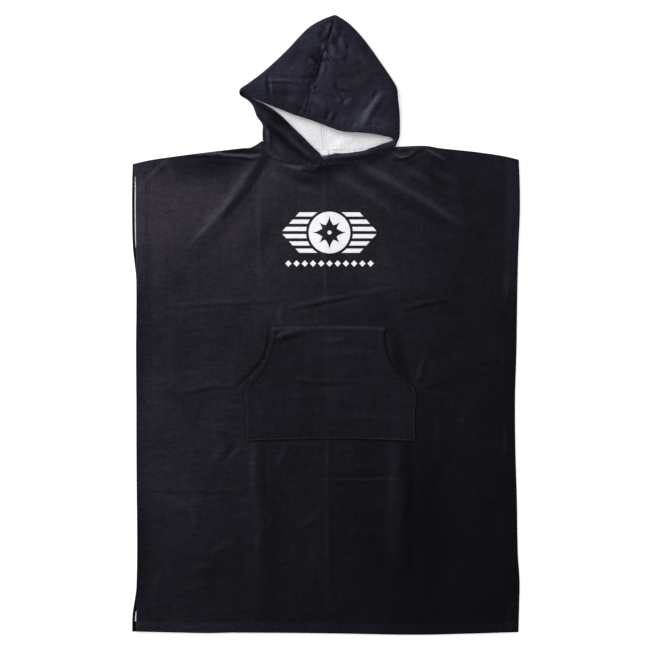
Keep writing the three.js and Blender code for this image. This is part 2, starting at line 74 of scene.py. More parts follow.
# Turned hems: depth, how much they stand up, the line of stitching and the groove that it pulls
HEM_DEPTH = 20.0
ARMHOLE_DEPTH = 26.0
HEM_EXTRA = 0.9
STITCH_INSIDE = 3.0
STITCH_GROOVE = 0.6
GROOVE_WIDTH = 2.2
SEAM_STITCH = 4.5
ARMHOLE_FOOT = 50.0
ARMHOLE_FADE = 40.0
VENT_HEAD = -565.0
VENT_FADE = 20.0

# How far apart the body's points are, over what length, and how many columns the neck takes up
BODY_LENGTH = 970.0
FRONT_STEP = 4.4
FRONT_NECK_COLUMNS = (30, 40)
BACK_STEP = 7.0
BACK_NECK_COLUMNS = 36

# Distances in from an edge at which each panel has a line of points, and the largest share of a
# length that they take up
HEM_STEPS = (0, 0.4, 1.2, 2.4, 4.5, 5.8, 8, 12, 15, 17, 19, 21.5, 23, 25, 28)
EDGE_STEPS = (0, 0.4, 1.2, 2.4, 4.5, 7)
TOP_STEPS = (0, 0.4, 1.2, 2.4, 4.5, 6.4, 8.3, 10.2, 12.1, 14, 15.9, 17.8, 19.7, 21.6, 23.5, 26, 29)
MOST_EDGE = 0.45


def table(columns, text):
    """A table's text as one array of numbers for each named column."""
    names = columns.split()
    return dict(zip(names, np.array(text.split(), float).reshape(-1, len(names)).T))


# Outline of the body: its sides at each height, its bottom edge, shoulders and neck
FRONT_SIDES = table("y left right", """
-634 -392.5 398.6
-570 -391 400.4
-532 -389.8 401
-470 -389.1 397.2
-363 -390.8 395.4
-260 -391.6 392.4
-156 -391.8 391.6
-50 -392.4 394.6
50 -391.6 396
150 -392.4 398.2
237 -393.3 401.5
300 -393.6 401
330 -398 399.6
""")
BACK_SIDES = table("y left right", """
-634 -400.5 396.4
-600 -399.5 397.6
-540 -391.5 399
-363 -390.6 393.3
-156 -391.6 389.2
50 -391.6 393.3
100 -392.5 394.5
160 -399 396.8
237 -400.8 400.5
300 -400.4 399
330 -399.5 397
""")
HEM_LINE = table("x y", """
-400 -634.8
-290 -637.4
-240 -638.2
-190 -637.2
0 -638.6
184 -641.6
300 -639.2
400 -636
""")
SHOULDER_LEFT = table("x y", """
-399 332
-363 340
-307 348.3
-241 356.6
-171 364.8
-154 366.2
-130.7 380
""")
SHOULDER_RIGHT = table("x y", """
144.2 367.3
205 369.6
236 364.8
312 356.6
368 348.3
399 341
""")
NECK_FRONT_LEFT = table("along x y", """
0 -130.7 380
0.12 -127.6 360
0.24 -115.2 345
0.45 -88.4 334
0.7 -52 328.5
1 -14 326.6
""")
NECK_FRONT_RIGHT = table("along x y", """
0 -14 326.6
0.3 31.5 333.5
0.6 85.3 343
0.8 114 353
1 144.2 367.3
""")
NECK_BACK = table("x y", """
-130.7 380
-90 368
-40 362.5
10 361.4
80 363.2
144.2 367.3
""")

# Broad folds of the front: a soft ridge along each line from (x1, y1) by (x2, y2) to (x3, y3)
FOLD_COLUMNS = "x1 y1 x2 y2 x3 y3 height width"
FRONT_FOLDS = table(FOLD_COLUMNS, """
-136 338 -181 266 -272 156 2.8 30
-84 290 -122 220 -210 120 2 46
70 322 180 262 310 196 4.5 34
13 305 100 256 190 200 3 34
148 330 206 304 290 256 2.5 30
-92 312 -62 306 -26 300 3 30
152 346 190 344 226 330 4 30
-170 346 -240 336 -340 316 2 40
-6 290 2 150 4.6 20 1.5 44
5 -262 6 -430 4 -640 1.5 46
-150 -266 -136 -420 -126 -640 2 44
152 -250 158 -380 152 -560 3 36
60 84 150 74 250 50 1.5 40
210 -112 260 -92 330 -84 2 44
-204 -122 -260 -128 -345 -130 2 42
330 60 356 0 362 -90 2 42
""")
NECK_LIFTS = table("x y height reach", """
-130.7 380 3.4 62
-14 326.6 1.4 50
144.2 367.3 3.4 62
""")

FOLD_END = 0.12  # share of a half wave that a fold's height leaves out at each end
DEEPEST_TROUGH = -0.9

# Fine creases of the front's pile: ridges, and troughs where the height is below zero
FRONT_CREASES = table(FOLD_COLUMNS, """
-268 350.4 -227 353.6 -200 349.2 3.4 4.4
-206 350 -165 347 -148 344.6 3.8 4.4
-158 345 -142 347 -128 351.4 2.6 4.4
-212 356 -170 357.4 -130 355.4 -4.6 6
-188 345 -165 340.4 -142 340 -3.6 4.6
-245 336 -208 330 -172 330 -1.1 6
-300 344 -262 345 -215 343 -0.8 5
-378 288 -342 324 -326 340 1.1 10
-329 335 -318 318 -311 299 0.9 8
-354 330 -338 318 -326 302 -0.8 8
-134 346 -160 310 -184 276 1.2 15
-180 282 -209 240 -236 211 1.3 12
-230 215 -258 187 -284 160 1.0 8
-119 350 -140 314 -161 278 -2.8 13
-158 282 -187 247 -207 219 -2.4 11
-91 318 -48 299 -11 288 -2.0 13
-84 332 -62 324 -42 321 2.6 9
-46 317 -28 313 -10 315 -2.4 6
-85 289 -48 278 -17 270 1.2 14
-112 312 -94 298 -78 290 1.1 12
80 326 130 299 182 270 2.6 13
178 273 238 235 292 199 2.8 12
20 311 58 288 100 260 2.0 14
95 263 125 241 152 219 1.5 12
59 319 100 290 150 258 -1.7 12
147 260 199 231 252 203 -1.5 12
153 323 206 302 280 259 1.6 13
209 310 233 291 259 273 -2.2 13
226 318 250 306 272 300 1.1 10
141 353 153 344.6 172 346 3.8 5
172 346 180 354 190 361 1.8 5
152 363.4 176 364.6 203 364.8 2.2 4
152 355 160 357 169 358.8 -2.4 4
143 340.6 160 338.4 178 344 -3.4 5
178 345 186 354 203 358 -3.4 5
172 333 181 332.6 190 339 -2.2 5
207 363 224 352.4 251 338 3.6 4.6
214 348 230 338 244 326 -1.4 8
-3 316 -2 169 3 0 1.1 6
-70 36 5 52 68 62 1.8 6
68 62 111 70 156 77 1.4 6
-64 29 10 45 68 56 -1.8 6
169 27 206 39 256 47 -2.2 6
166 34 201 45 248 52 1.4 6
-330 38 -207 46 -110 50 1.3 5
-330 31 -207 39 -110 43 -0.8 5
-90 38 -96 10 -84 -8 1.2 8
-136 286 -137 169 -133 63 0.9 10
373 95 376 63 370 37 1.4 10
-173 -128 -236 -126 -294 -137 1.1 7
-173 -134 -231 -134 -288 -145 -0.8 7
-172 -176 -191 -169 -214 -162 1.0 6
-176 -222 -214 -217 -254 -204 0.9 8
-147 -246 -149 -302 -147 -350 1.6 11
-146 -354 -141 -405 -140 -440 0.7 12
-127 -246 -127 -300 -124 -360 -1.7 9
-80 -249 -86 -265 -99 -290 1.3 8
-104 -347 -88 -373 -78 -384 0.9 8
-204 -288 -188 -266 -171 -249 0.9 12
-210 -282 -196 -260 -184 -248 -1.2 9
-383 -340 -290 -343 -170 -345 0.8 4
-383 -346 -290 -349 -170 -351 -1.0 4
5 -240 4 -296 5 -354 1.5 6
5 -354 6 -491 7 -626 1.0 6
142 -246 146 -288 142 -330 1.1 14
143 -326 139 -362 132 -404 1.0 13
136 -420 140 -452 138 -480 0.6 12
170 -242 174 -330 170 -420 -2.4 14
172 -400 174 -480 171 -560 -1.1 14
-7 -313 79 -314 161 -315 -1.8 5
84 -320 112 -319 152 -318 2.6 5
-4 -320 40 -320 96 -321 1.0 4
100 -328 60 -330 10 -333 -0.9 5
204 -64 196 -94 188 -126 1.8 9
144 -14 154 -64 172 -114 -2.8 13
138 -34 145 -70 158 -106 -1.6 7
-116 -2 -121 -42 -129 -72 -3.8 4.4
-126 -66 -143 -90 -168 -115 -3.8 5
-170 -116 -176 -122 -182 -128 -2.0 6
188 -128 211 -127 234 -123 1.2 7
188 -134 217 -141 240 -150 0.9 8
231 -204 234 -250 230 -290 1.0 14
372 -210 374 -239 371 -273 1.4 8
366 -49 370 -72 368 -92 1.0 8
-236 -474 -214 -460 -190 -453 1.2 11
-284 -514 -259 -503 -230 -497 1.0 12
-310 -554 -280 -544 -246 -538 0.7 11
-276 -380 -270 -404 -274 -430 0.9 12
-352 -553 -347 -533 -345 -516 0.8 9
-142 -470 -136 -438 -130 -412 1.2 11
-331 -368 -305 -374 -269 -385 1.1 6
-13 -387 -33 -405 -59 -425 1.0 9
-122 -388 -110 -402 -119 -422 1.1 9
-208 -250 -225 -273 -236 -296 1.0 14
297 -170 280 -204 275 -250 0.8 16
51 -434 97 -428 137 -434 0.7 12
-340 -354 -294 -371 -259 -368 0.9 12
""")

# Painted light and shade on the front's pile: it fades from lighter at the top left, where the
# key lamp is, to darker at the bottom right, with soft patches of painted light or, below zero,
# painted shade
PATCH_COLUMNS = "x y reach_x reach_y lift"
PAINTED_FADE_AT_MIDDLE = 0.385
PAINTED_FADE_X = -0.00182
PAINTED_FADE_Y = 0.00132
FRONT_PAINTED_PATCHES = table(PATCH_COLUMNS, """
-330 350 230 84 -0.62
-190 352 120 50 -0.34
-240 318 120 60 -0.14
-228 353 52 6.5 0.8
-186 348.6 40 6 0.5
-152 346 28 6 0.3
-330 10 230 230 -0.24
-386 40 40 200 -0.22
-386 -140 34 200 -0.18
-388 -440 36 260 -0.22
-6 318 54 34 -0.38
-280 320 90 34 -0.07
112 346 34 16 -0.16
40 328 44 14 -0.12
110 160 150 170 0.11
200 90 90 60 0.06
240 300 120 90 -0.05
-112 -400 40 260 -0.08
-270 -500 160 140 -0.06
-60 214 90 90 0.10
140 -330 44 260 0.03
110 -400 120 240 -0.04
215 -400 70 280 -0.08
46 46 60 24 0.06
""")
HEM_PAINTED_LIGHT = 0.5  # painted light: how much lighter a hem's pile is made
# painted light on the right armhole's hem
RIGHT_ARMHOLE_PAINTED_LIGHT = 0.5
NECK_PAINTED_SHADE = -0.5  # painted shade just under the neck's right half
NECK_PAINTED_SHADE_DEPTH = 18.0
NECK_PAINTED_SHADE_SHARE = 1.3  # over 1, so that the shade is full for a stretch
NECK_PAINTED_SHADE_REACH = (-20, 146)
LEAST_BODY_LIGHTNESS = 0.06
CREST_PAINTED_LIGHT = 0.30  # painted highlight on ridges and painted shade in troughs: lightness that each millimetre of a crease's height gives
LEAN_PAINTED_LIGHT = 2.0  # painted light and shade: lightness that each unit gives by which the pile leans to the upper left, towards the key lamp
MOST_LEAN = 0.3
LIGHTNESS_TOP = 1.6  # the value of the pile's tone and painted light at which the lightest colour is reached

# Soft troughs pressed up into the underside of the back, which lies on the surface elsewhere
BACK_CREASES = table(FOLD_COLUMNS, """
-110 300 -190 190 -260 60 0.9 20
120 310 210 220 300 90 0.8 22
-6 330 0 60 3 -260 0.8 12
2 -300 6 -470 4 -620 0.9 12
-150 -120 -146 -330 -136 -600 0.7 16
160 -60 178 -300 166 -560 0.9 18
-330 -80 -200 -92 -60 -70 0.6 14
60 30 190 44 320 20 0.6 14
-300 -420 -190 -440 -90 -410 0.6 16
""")
BACK_SHARE = 0.3  # how much of the front's broad folds the back follows

# Where the back's upper side shows loops: lowest and highest place in the armholes, half width
# and lowest place at the neck, middle and half height of the left vent, distance from the edge
ARMHOLE_LOOPS = (156, 312)
NECK_LOOPS = (150, 300)
VENT_LOOPS = (-606, 9)
LOOPS_INSIDE = 5.4
NECK_SHADE = 12.0  # none this close to the front's neck edge: dark pile there is painted shade in the seam's slit
NECK_SHADE_COLUMNS = (60, 60)
NECK_CORNER = 16.0  # between these corners the back's neck edge isn't rounded

# Pocket: its sides at each height, its bowed edges, how far it stands off, and its own creases
POCKET_SIDES = table("y left right", """
-241.5 -164.8 185.5
-185 -164.6 184.6
-131 -164.8 183
-104.4 -142.5 149.5
-78 -126.8 133
-49 -118.8 123.2
-20 -110.5 120.2
-5 -110.5 123.8
""")
POCKET_WIDTH = 350.0
POCKET_OPENING_FOOT = -131.0
POCKET_OPENING_FADES = (8, 6)
POCKET_BOW = 5.0  # how far its lower edge, and its upper edge, rise in the middle
POCKET_TOP_BOW = 2.8
POCKET_STANDS = 0.6
POCKET_UNDERSIDE = FRONT_UNDERSIDE + CLOTH + SEAM_GAP + POCKET_STANDS
POCKET_PUFF = 3.2
POCKET_PUFF_CURVE = 0.7
POCKET_GAPE = 1.6  # how far the openings' edges stand up
POCKET_GAPE_REACH = 40.0
POCKET_HEM_EXTRA = 0.8
POCKET_TROUGH = -0.8
POCKET_SHIFT = 300  # gives it another part of the waves than the front
POCKET_HEM_STITCH = 9.0
POCKET_EDGE_STITCH = 3.0
POCKET_STEP = 3.0
POCKET_STEPS = (0, 0.4, 1.2, 2, 3, 4.5, 7, 9, 11)
POCKET_LIGHTNESS = 0.31
# painted highlight along the pocket's top hem
POCKET_TOP_PAINTED_HIGHLIGHT = 0.8
POCKET_CREASES = table(FOLD_COLUMNS, """
-108 -31 -82 -19 -51 -14 2.2 8
-100 -43 -76 -31 -44 -24 -1.3 8
-20 -30 16 -36 50 -26 0.9 9
-48 -122 10 -128 60 -124 -1.0 9
-60 -112 -30 -118 4 -117 1.0 7
3 -20 5 -120 4 -230 0.3 7
-30 -62 40 -58 110 -66 0.6 12
-90 -150 -20 -146 60 -156 0.6 12
20 -196 90 -190 150 -198 0.7 10
-140 -160 -132 -180 -136 -210 0.8 10
""")

# Hood: the seam up the centre back and the seam over the crown, shared by both halves
BACK_SEAM = table("along x y", """
0 -4.6 361.6
0.25 -8.2 402
0.5 -14 452
0.75 -10 518
1 5 585
""")
CROWN_SEAM = table("along x y z", """
0 18 634 12
0.2 7 594 19.2
0.4 -7 552 22.6
0.6 -21 509 23.2
0.8 -34.5 468 21.2
1 -44.5 426.5 15.2
""")

# How far apart the hood's points are, over what lengths: the flap is the upper layer
HOOD_LENGTH = 250.0
CROWN_LENGTH = 230.0
HOOD_WIDTH = 140.0
HOOD_ROW_STEP = 2.2
UNDER_STEP = 4.2
UNDER_STEPS = (0, 0.4, 1.2, 2.4, 4.5, 6, 7.5)
FLAP_STEP = 3.0
TURN_COLUMNS = 11
FULL_HEM_LENGTH = 60.0  # a shorter flap has its hem squeezed
UNDER_AT_NECK = 0.88  # share of the lower layer's width that is sewn to the neck

# Hood halves, by rows from the neck (0) to the crown seam (1): the outline where the cloth folds
# (fx, fy), the way it bulges there in degrees, the fold's radius, the edge of the face opening
# (ex, ey) with its height (ez), and how far the cloth between them is puffed
HOOD_COLUMNS = "row fx fy way radius ex ey ez puff"
HOOD_LEFT = table(HOOD_COLUMNS, """
0 -130.7 380.3 180 2.8 -14.2 327 4.7 0
0.06 -130.6 386 180 2.8 -10 347.5 5.4 0.5
0.17 -131.2 396 180 3 -34 374.3 6.4 2
0.27 -131.2 414 184 3 -66 406 7 2.5
0.36 -143 431 206 3 -98 436.5 7 1.5
0.43 -151 452 208 2.6 -127 455.5 5.8 0.5
0.47 -162 464.5 216 2.4 -149 465.5 5.6 0
0.5 -177.5 474.5 196 2.4 -167.5 474 6.2 0
0.53 -177.5 486.5 146 2.8 -164 471.5 8.6 0
0.58 -163 497 132 3.6 -148 466.2 10.6 1
0.67 -129.7 521.9 128 5 -119 454.5 12.6 4
0.78 -84.2 563.3 132 6 -88 442 14 5.5
0.89 -37.8 611.7 128 6 -66 433 15 6.5
0.95 -8.6 629.8 114 6 -54 429.5 15 4
1 20.2 640.8 75 5.5 -44.5 426.5 15 0
""")
HOOD_RIGHT = table(HOOD_COLUMNS, """
0 144.2 367.6 0 2.8 -13.8 327 4.7 0
0.06 145 369.5 0 2.8 -8.6 346.2 4.8 0.3
0.12 146 371.5 -6 2.8 12 351.6 5 0.5
0.2 147 374 -12 2.8 50 355.4 5.4 0.8
0.28 148.2 377 -16 2.8 86 361.2 5.8 0.8
0.36 149.6 380.5 -18 2.8 112 370 6 0.5
0.44 151.6 384.5 -16 2.8 132 375.5 6.2 0.3
0.5 152.8 389 -10 2.8 140.6 379.4 6.6 0
0.55 153.4 398 -3 3.2 134 386 8 0.5
0.6 153.5 414 0 4 121 389.2 10 2
0.67 152.8 438 2 5 98 393.4 12.5 4.5
0.74 149.6 468 5 6 66 396.4 14 7
0.775 147.4 488 18 6 50 397 14.6 7.5
0.82 136.4 508.2 32 6 32 399.2 15 8
0.88 111 545.4 38 6 6 408 15.4 8.5
0.93 79.5 588.8 42 6 -14 416 15.2 8
0.97 48.9 621.6 52 6 -31 422 15.2 5
1 20.2 640.8 75 5.5 -44.5 426.5 15 0
""")
HOOD_FOLDS = table(FOLD_COLUMNS, """
-122 432 -80 392 -40 352 2.5 32
66 402 92 440 122 484 3.5 34
-110 490 -76 500 -34 506 2.5 32
""")
HOOD_CREASES = table(FOLD_COLUMNS, """
72 404 95 445 114 474 1.7 11
82 404 106 445 122 466 -1.4 9
95 462 101 472 106 480 -2.6 5
12 635 16 634 21 631 2.6 5
15 628 11 610 6 594 -2.8 4.4
6 596 4 590 3 582 -1.8 4
9 620 6 611 2 600 2.4 5
17 611 21 601 22 590 2.6 5
30 618 30 606 28 594 -2.0 7
-6 616 -9 602 -12 586 -1.8 8
13 590 9 585 4 580 3.0 4
15 586 10 582 6 576 -3.4 4
-6 579 -4 573 -6 564 2.8 5
-12 572 -12 562 -10 554 -1.6 5
10 578 12 573 14 568 2.8 4.6
18 568 16 562 12 555 2.8 4.6
3 562 -1 557 -4 552 2.4 4.6
5 573 4 565 6 556 -2.6 4
24 600 20.6 578 26 560 -3.4 4.6
32 590 34 579 38 566 2.6 5
44.5 579 44 568 43.5 556 -3.0 4.4
49 577 49.5 568 48 558 1.8 5
34 540 38 546 43 554 -2.0 5
26 556 30 550 33 545 1.6 5
49 543 55 547 58 552 1.8 4
-8 544 7 543.6 22 543.4 -4.2 3.8
21 543.4 24 541 27 538 -2.6 4
-10 553 -9 548 -9.5 543 -3.2 4
-5 549 8 549.6 20 548 2.0 4
0 538.6 10 538.4 20 538 1.4 4
-30 553 -20 544 -12 536 -3.6 5.4
-34 549 -26 540 -18 533 1.6 5
-9 540 -13 524 -22 498 -2.4 3.8
-2 540 -7 530 -12 518 2.2 4
-2 537 0 531 1 526 -1.8 4
-25 495 -28 488 -26 481 2.2 4
-20 492 -23 486 -22 480 -1.6 4
-36 474 -41 456 -47 434 1.4 5
-50 570 -60 552 -74 536 -1.0 14
-127 504 -92 503 -50 501 1.4 5
-118 498 -84 497 -50 496 -0.9 5
-50 509.5 -36 509 -20 510 -2.6 4.4
20 510.6 40 511 58 512 -1.9 5
-121 512 -119 490 -116 470 -3.2 5
-115 510 -112 491 -109 473 1.4 5
19 500 22 488 26 480 -3.0 5
25 484 38 481 54 480 -3.0 4.6
26 490 38 489 52 487 1.4 5
31 470 36 462 33 454 -2.6 5
38 452 45 458 52 466 2.6 5
20 457 30 462 38 472 1.8 6
8 470 16 466 24 468 -1.4 5
97 522 105 526 113 532 1.8 5
76 440 86 452 91 459 -1.4 7
-2 422 5 433 8 442 -2.2 6
13 415 18 426 21 435 -1.8 6
6 418 11 430 14 440 1.6 5
30 410 36 420 38 432 1.4 6
52 404 56 414 60 424 -1.2 6
-82 516 -68 529 -48 543 0.5 12
-99 488 -72 485 -48 488 0.9 13
56 495 76 505 90 516 1.0 12
-20 467 -6 454 7 450 1.2 11
56 557 76 547 90 529 1.0 13
62 600 74 580 84 560 -1.0 12
-90 470 -70 462 -48 452 1.0 11
-64 456 -52 446 -40 440 -1.2 8
-120 408 -97 391 -62 359 -3.2 11
-68 364 -44 346 -18 330 -3.8 8
-124 426 -99 407 -72 384 2.2 11
-78 390 -48 362 -24 342 2.0 8
-146 460 -121 442 -99 430 -2.2 8
-104 433 -84 416 -66 398 -2.6 6
-60 388 -46 372 -36 362 -1.2 5
-123 412 -119 394 -117 372 2.6 8
-122 362 -106 346 -76 335 2.4 5
-100 374 -92 360 -80 348 1.6 13
""")
# Soft patches of painted light or, below zero, painted shade on the hood's pile
HOOD_PAINTED_PATCHES = table(PATCH_COLUMNS, """
96 438 80 80 0.22
88 412 100 44 0.34
124 446 40 60 0.10
10 430 110 60 0.10
-30 547 40 34 -0.06
-108 412 60 70 -0.15
-60 356 60 30 -0.03
80 362 130 22 -0.18
-172 477 16 14 -0.28
-144 486 34 22 -0.09
122 474 50 50 0.06
100 410 74 32 0.34
-98 424 42 30 -0.13
-88 388 30 24 -0.04
-108 360 40 24 0.04
40 340 50 10 -0.08
70 343 110 13 -0.16
60 530 110 120 0.15
-44 566 60 50 -0.07
-80 520 50 50 -0.03
4 464 74 54 0.10
""")
HOOD_LIGHTNESS = 0.30
# painted highlight on ridges and painted shade in troughs, per millimetre of a crease's height
HOOD_CREST_PAINTED_LIGHT = 0.42
LEAST_HOOD_LIGHTNESS = 0.03
FACE_EDGE_PAINTED_HIGHLIGHT = 0.9  # painted highlight: how much lighter the face hem's edge is made beside the neck, on the right
FACE_EDGE_DEPTH = 6.0
FACE_EDGE_SHARE = 1.6
FACE_EDGE_ROWS = (0.06, 0.5)
FACE_EDGE_HEAD = 0.47
FACE_EDGE_FADE = 0.06
FACE_EDGE_START = -6.0
FACE_EDGE_DIM = 80.0  # past this place the edge is half as light
FACE_EDGE_DIM_FADE = 40.0
FLAP_FLOOR = 3.0  # least height of the upper layer's middle over the surface
FLAP_SOFTNESS = 0.4
FLAP_UNEVENNESS = 0.8
LINING_CREASES = table(FOLD_COLUMNS, """
56 396 34 374 12 352 2.4 16
104 392 102 386 104 378 0.9 4
112 391 111 385 113 377 0.9 4
-50 430 -40 400 -20 372 0.8 14
80 470 40 500 10 560 1.2 20
-90 500 -60 530 -30 560 1.2 20
""")

# The left face hem where it passes over the right one in front: how far across and up, and over
# which share of the rows and of the flap's width
CROSSING_WIDTH = 3.0
CROSSING_RISE = 2.7
CROSSING_ROWS = 0.14
CROSSING_SHARE = 0.28

# Shares of the hood's rows over which it follows the neck's edge, the neck's seam and the crown's
NECK_FADE = 0.3
NECK_SEAM_FADE = 0.06
CROWN_FADE = 0.2

# Puckers along the crown's seam, and the band of turned cloth at the centre back's seam
PUCKER_HEIGHT = 1.5
PUCKER_LENGTH = 16.0
PUCKER_REACH = 26.0
SEAM_BAND_WIDTH = 4.4
SEAM_BAND_FADE = 1.5
SEAM_BAND_HEIGHT = 0.9

# Label at the back of the neck
LABEL_LEFT = -12.0
LABEL_WIDTH = 17.0
LABEL_HEIGHT = 11.0
LABEL_THICKNESS = 0.6
LABEL_STANDS = 0.2
LABEL_CURL = 0.35
LABEL_STEP = 1.2
LABEL_STEPS = (0, 0.3, 0.9)

# Slow unevenness of cloth that lies: waves with their length, direction, phase and height
WAVES = table("length way phase height", """
210 25 0.3 0.26
150 118 1.9 0.22
96 71 4.0 0.16
71 160 2.6 0.13
44 40 5.2 0.08
31 99 0.9 0.06
""")

# Print on the chest, in metres: a disc with a compass star left dark in it, bars at its sides and
# a row of diamonds below
PRINT_X = 0.0074
PRINT_Y = 0.1905
DISC_RADIUS = 0.0430
LONG_POINTS = 0.0365
SHORT_POINTS = 0.0320
POINT_CURVE = 0.6
HUB_RADIUS = 0.0042
BAR_CLEARANCE = 0.0485
BAR_PITCH = 0.0150
BAR_HALF_HEIGHT = 0.0043
BAR_REACH = 0.1000
BAR_SLANT = 0.9
BAR_ROWS = 3
PRINT_EDGE = 0.0004
PRINT_RAGGED = 0.0008
DIAMOND_PITCH = 0.0170
DIAMOND_HALF = 0.0066
DIAMOND_Y = 0.1265
DIAMOND_REACH = 0.0935

# Stitches: a stitch's rings have their place along it, and their height over the cloth and their
# radius as shares of the thread's radius
STITCH_PITCH = 4.0
STITCH_LENGTH = 3.1
THREAD_RADIUS = 0.42
THREAD_SIDES = 6
PATH_STEP = 2.0
HEM_STITCHES = (-372, 380)
ARMHOLE_STITCHES = (70, 326)
BARE_ROWS = 3  # rows at each end of the hood that have no stitches
BACK_STITCH_SHIFT = 1.6
THREAD_RINGS = table("along rise girth", """
0 -1.2 0.35
0.12 -0.1 0.85
0.35 0.55 1
0.65 0.55 1
0.88 -0.1 0.85
1 -1.2 0.35
""")

# Studio, in metres: floor, lamps with their places, sizes and powers, and the camera above
FLOOR_SIZE = 8.0
FLOOR_DROP = 0.0003
SKY_STRENGTH = 0.62
LAMPS = (
    ("key", (-2.0, 1.8, 1.8), 1.9, 92.0),
    ("fill", (1.8, -1.4, 2.6), 2.6, 20.0),
)
EYE = (-0.0019, -0.0006, 6.0)
SENSOR = 36.0
CLOTH_TOP = 0.005
PICTURE_WIDTH = 1.34355  # what the picture shows across at the cloth's height


# Reading tables and shaping

def read(rows, by, column, at):
    """Smooth value of one column of a table at places between its rows."""
    places, values = rows[by], rows[column]
    last = len(places) - 1
    at = np.clip(at, places[0], places[last])
    i = np.clip(np.searchsorted(places, at, side="right") - 1, 0, last - 1)

    def slope(a, b):
        return (values[b] - values[a]) / (places[b] - places[a])

    before = slope(np.maximum(i - 1, 0), i + 1)
    after = slope(i, np.minimum(i + 2, last))
    span = places[i + 1] - places[i]
    p = (at - places[i]) / span
    rise = values[i + 1] - values[i]
    bend = before * span * p * (1 - p) ** 2 - after * span * p * p * (1 - p)
    return values[i] + rise * p * p * (3 - 2 * p) + bend


def mix(a, b, p):
    return a + (b - a) * p


def clamp01(p):
    return np.clip(p, 0, 1)


def ease(p):
    """Smooth step from 0 to 1."""
    return clamp01(p) ** 2 * (3 - 2 * clamp01(p))


def near_stretch(x, y, ax, ay, bx, by):
    """Distance from points to a stretch of line, how far along it that is, and its length."""
    length = math.hypot(bx - ax, by - ay)
    p = clamp01(((x - ax) * (bx - ax) + (y - ay) * (by - ay)) / length ** 2)
    return np.hypot(x - mix(ax, bx, p), y - mix(ay, by, p)), p * length, length


def fold_height(folds, x, y):
    """Height that a table's folds give at points: each fold is highest halfway along."""
    height = np.zeros_like(x)
    for x1, y1, x2, y2, x3, y3, top, width in zip(*folds.values()):
        first, first_along, first_length = near_stretch(x, y, x1, y1, x2, y2)
        second, second_along, second_length = near_stretch(x, y, x2, y2, x3, y3)
        on_first = first < second
        away = np.where(on_first, first, second)
        along = np.where(on_first, first_along, first_length + second_along)
        place = along / (first_length + second_length)
        height += top * np.sin(np.pi * mix(FOLD_END, 1 - FOLD_END, place)) * ease(1 - away / width)
    return height


def unevenness(x, y):
    """Height of slow waves that cross each other."""
    height = np.zeros_like(x)
    for length, way, phase, top in zip(*WAVES.values()):
        along = x * math.cos(math.radians(way)) + y * math.sin(math.radians(way))
        height += top * np.sin(2 * np.pi * along / length + phase)
    return height


def front_rise(x, y):
    """Height of the front's broad folds and of its lift at the neck's corners."""
    height = fold_height(FRONT_FOLDS, x, y)
    lift = np.zeros_like(x)
    for at_x, at_y, top, reach in zip(*NECK_LIFTS.values()):
        lift += top * ease(1 - np.hypot(x - at_x, y - at_y) / reach)
    return height + lift


def front_relief(x, y):
    """Fine creases and slow unevenness of the front's outer face."""
    return np.maximum(fold_height(FRONT_CREASES, x, y) + unevenness(x, y), DEEPEST_TROUGH)


def patches(rows, x, y):
    """Lightness that a table's soft patches give at points."""
    lift = np.zeros_like(x)
    for at_x, at_y, reach_x, reach_y, top in zip(*rows.values()):
        lift += top * ease(1 - np.hypot((x - at_x) / reach_x, (y - at_y) / reach_y))
    return lift


def front_tone_and_painted_light(x, y):
    """Painted light and shade of the body's pile at points, apart from its creases."""
    fade = PAINTED_FADE_AT_MIDDLE * np.exp(PAINTED_FADE_X * x + PAINTED_FADE_Y * y)
    return np.maximum(fade + patches(FRONT_PAINTED_PATCHES, x, y), LEAST_BODY_LIGHTNESS)


def lean(points):
    """How far the upper side of a grid of points leans to the upper left."""
    normal = np.cross(np.gradient(points, axis=0), np.gradient(points, axis=1))
    normal /= np.linalg.norm(normal, axis=2, keepdims=True)
    up = np.where(normal[..., 2] < 0, -1, 1)
    leaning = (normal[..., 1] - normal[..., 0]) * up * math.sqrt(0.5)
    return np.clip(leaning, -MOST_LEAN, MOST_LEAN)


def fullness(distance):
    """Share of the cloth's thickness at a distance from its rounded edge."""
    inside = 1 - clamp01(distance / ROUNDING)
    return np.maximum(np.sqrt(1 - inside ** 2), LEAST_FULLNESS)


def band(distance, depth, fade):
    """One on a band along an edge, fading to nothing about its depth."""
    return clamp01((depth + fade / 2 - distance) / fade)


def hem_profile(distance, along, depth=HEM_DEPTH):
    """How far a turned hem stands up at a distance from its edge, with the stitching's groove,
    both a little uneven along the hem."""
    stands = HEM_EXTRA * band(distance, depth, 3)
    groove = STITCH_GROOVE * ease(1 - np.abs(distance - depth + STITCH_INSIDE) / GROOVE_WIDTH)
    pucker = 0.16 * np.sin(along / 2.1 + 2 * np.sin(along / 37)) + 0.14 * np.sin(along / 5.3)
    return stands * (1 + pucker * ease(distance / 6)) - groove * (1 + pucker)


def groove_at(distance, place, depth=0.5, width=1.8):
    """Groove that a row of stitches pulls at a place in from an edge."""
    return -depth * ease(1 - np.abs(distance - place) / width)


# Walls of cloth

def spaced(length, pitch, near=EDGE_STEPS, far=EDGE_STEPS):
    """Distances along a length: close together at both ends and evenly spaced between them."""
    near = [d for d in near if d < length * MOST_EDGE]
    far = [d for d in far if d < length * MOST_EDGE]
    start, stop = near[-1], length - far[-1]
    count = max(2, round((stop - start) / pitch))
    middle = [mix(start, stop, i / count) for i in range(1, count)]
    return np.array(near + middle + [length - d for d in reversed(far)])


def stack(x, y, z):
    return np.stack(np.broadcast_arrays(x, y, z), axis=-1)


def new_piece(name, mesh, *materials):
    """Object with a smooth mesh."""
    mesh.shade_smooth()
    for material in materials:
        mesh.materials.append(material)
    piece = bpy.data.objects.new(name, mesh)
    bpy.context.scene.collection.objects.link(piece)
    return piece


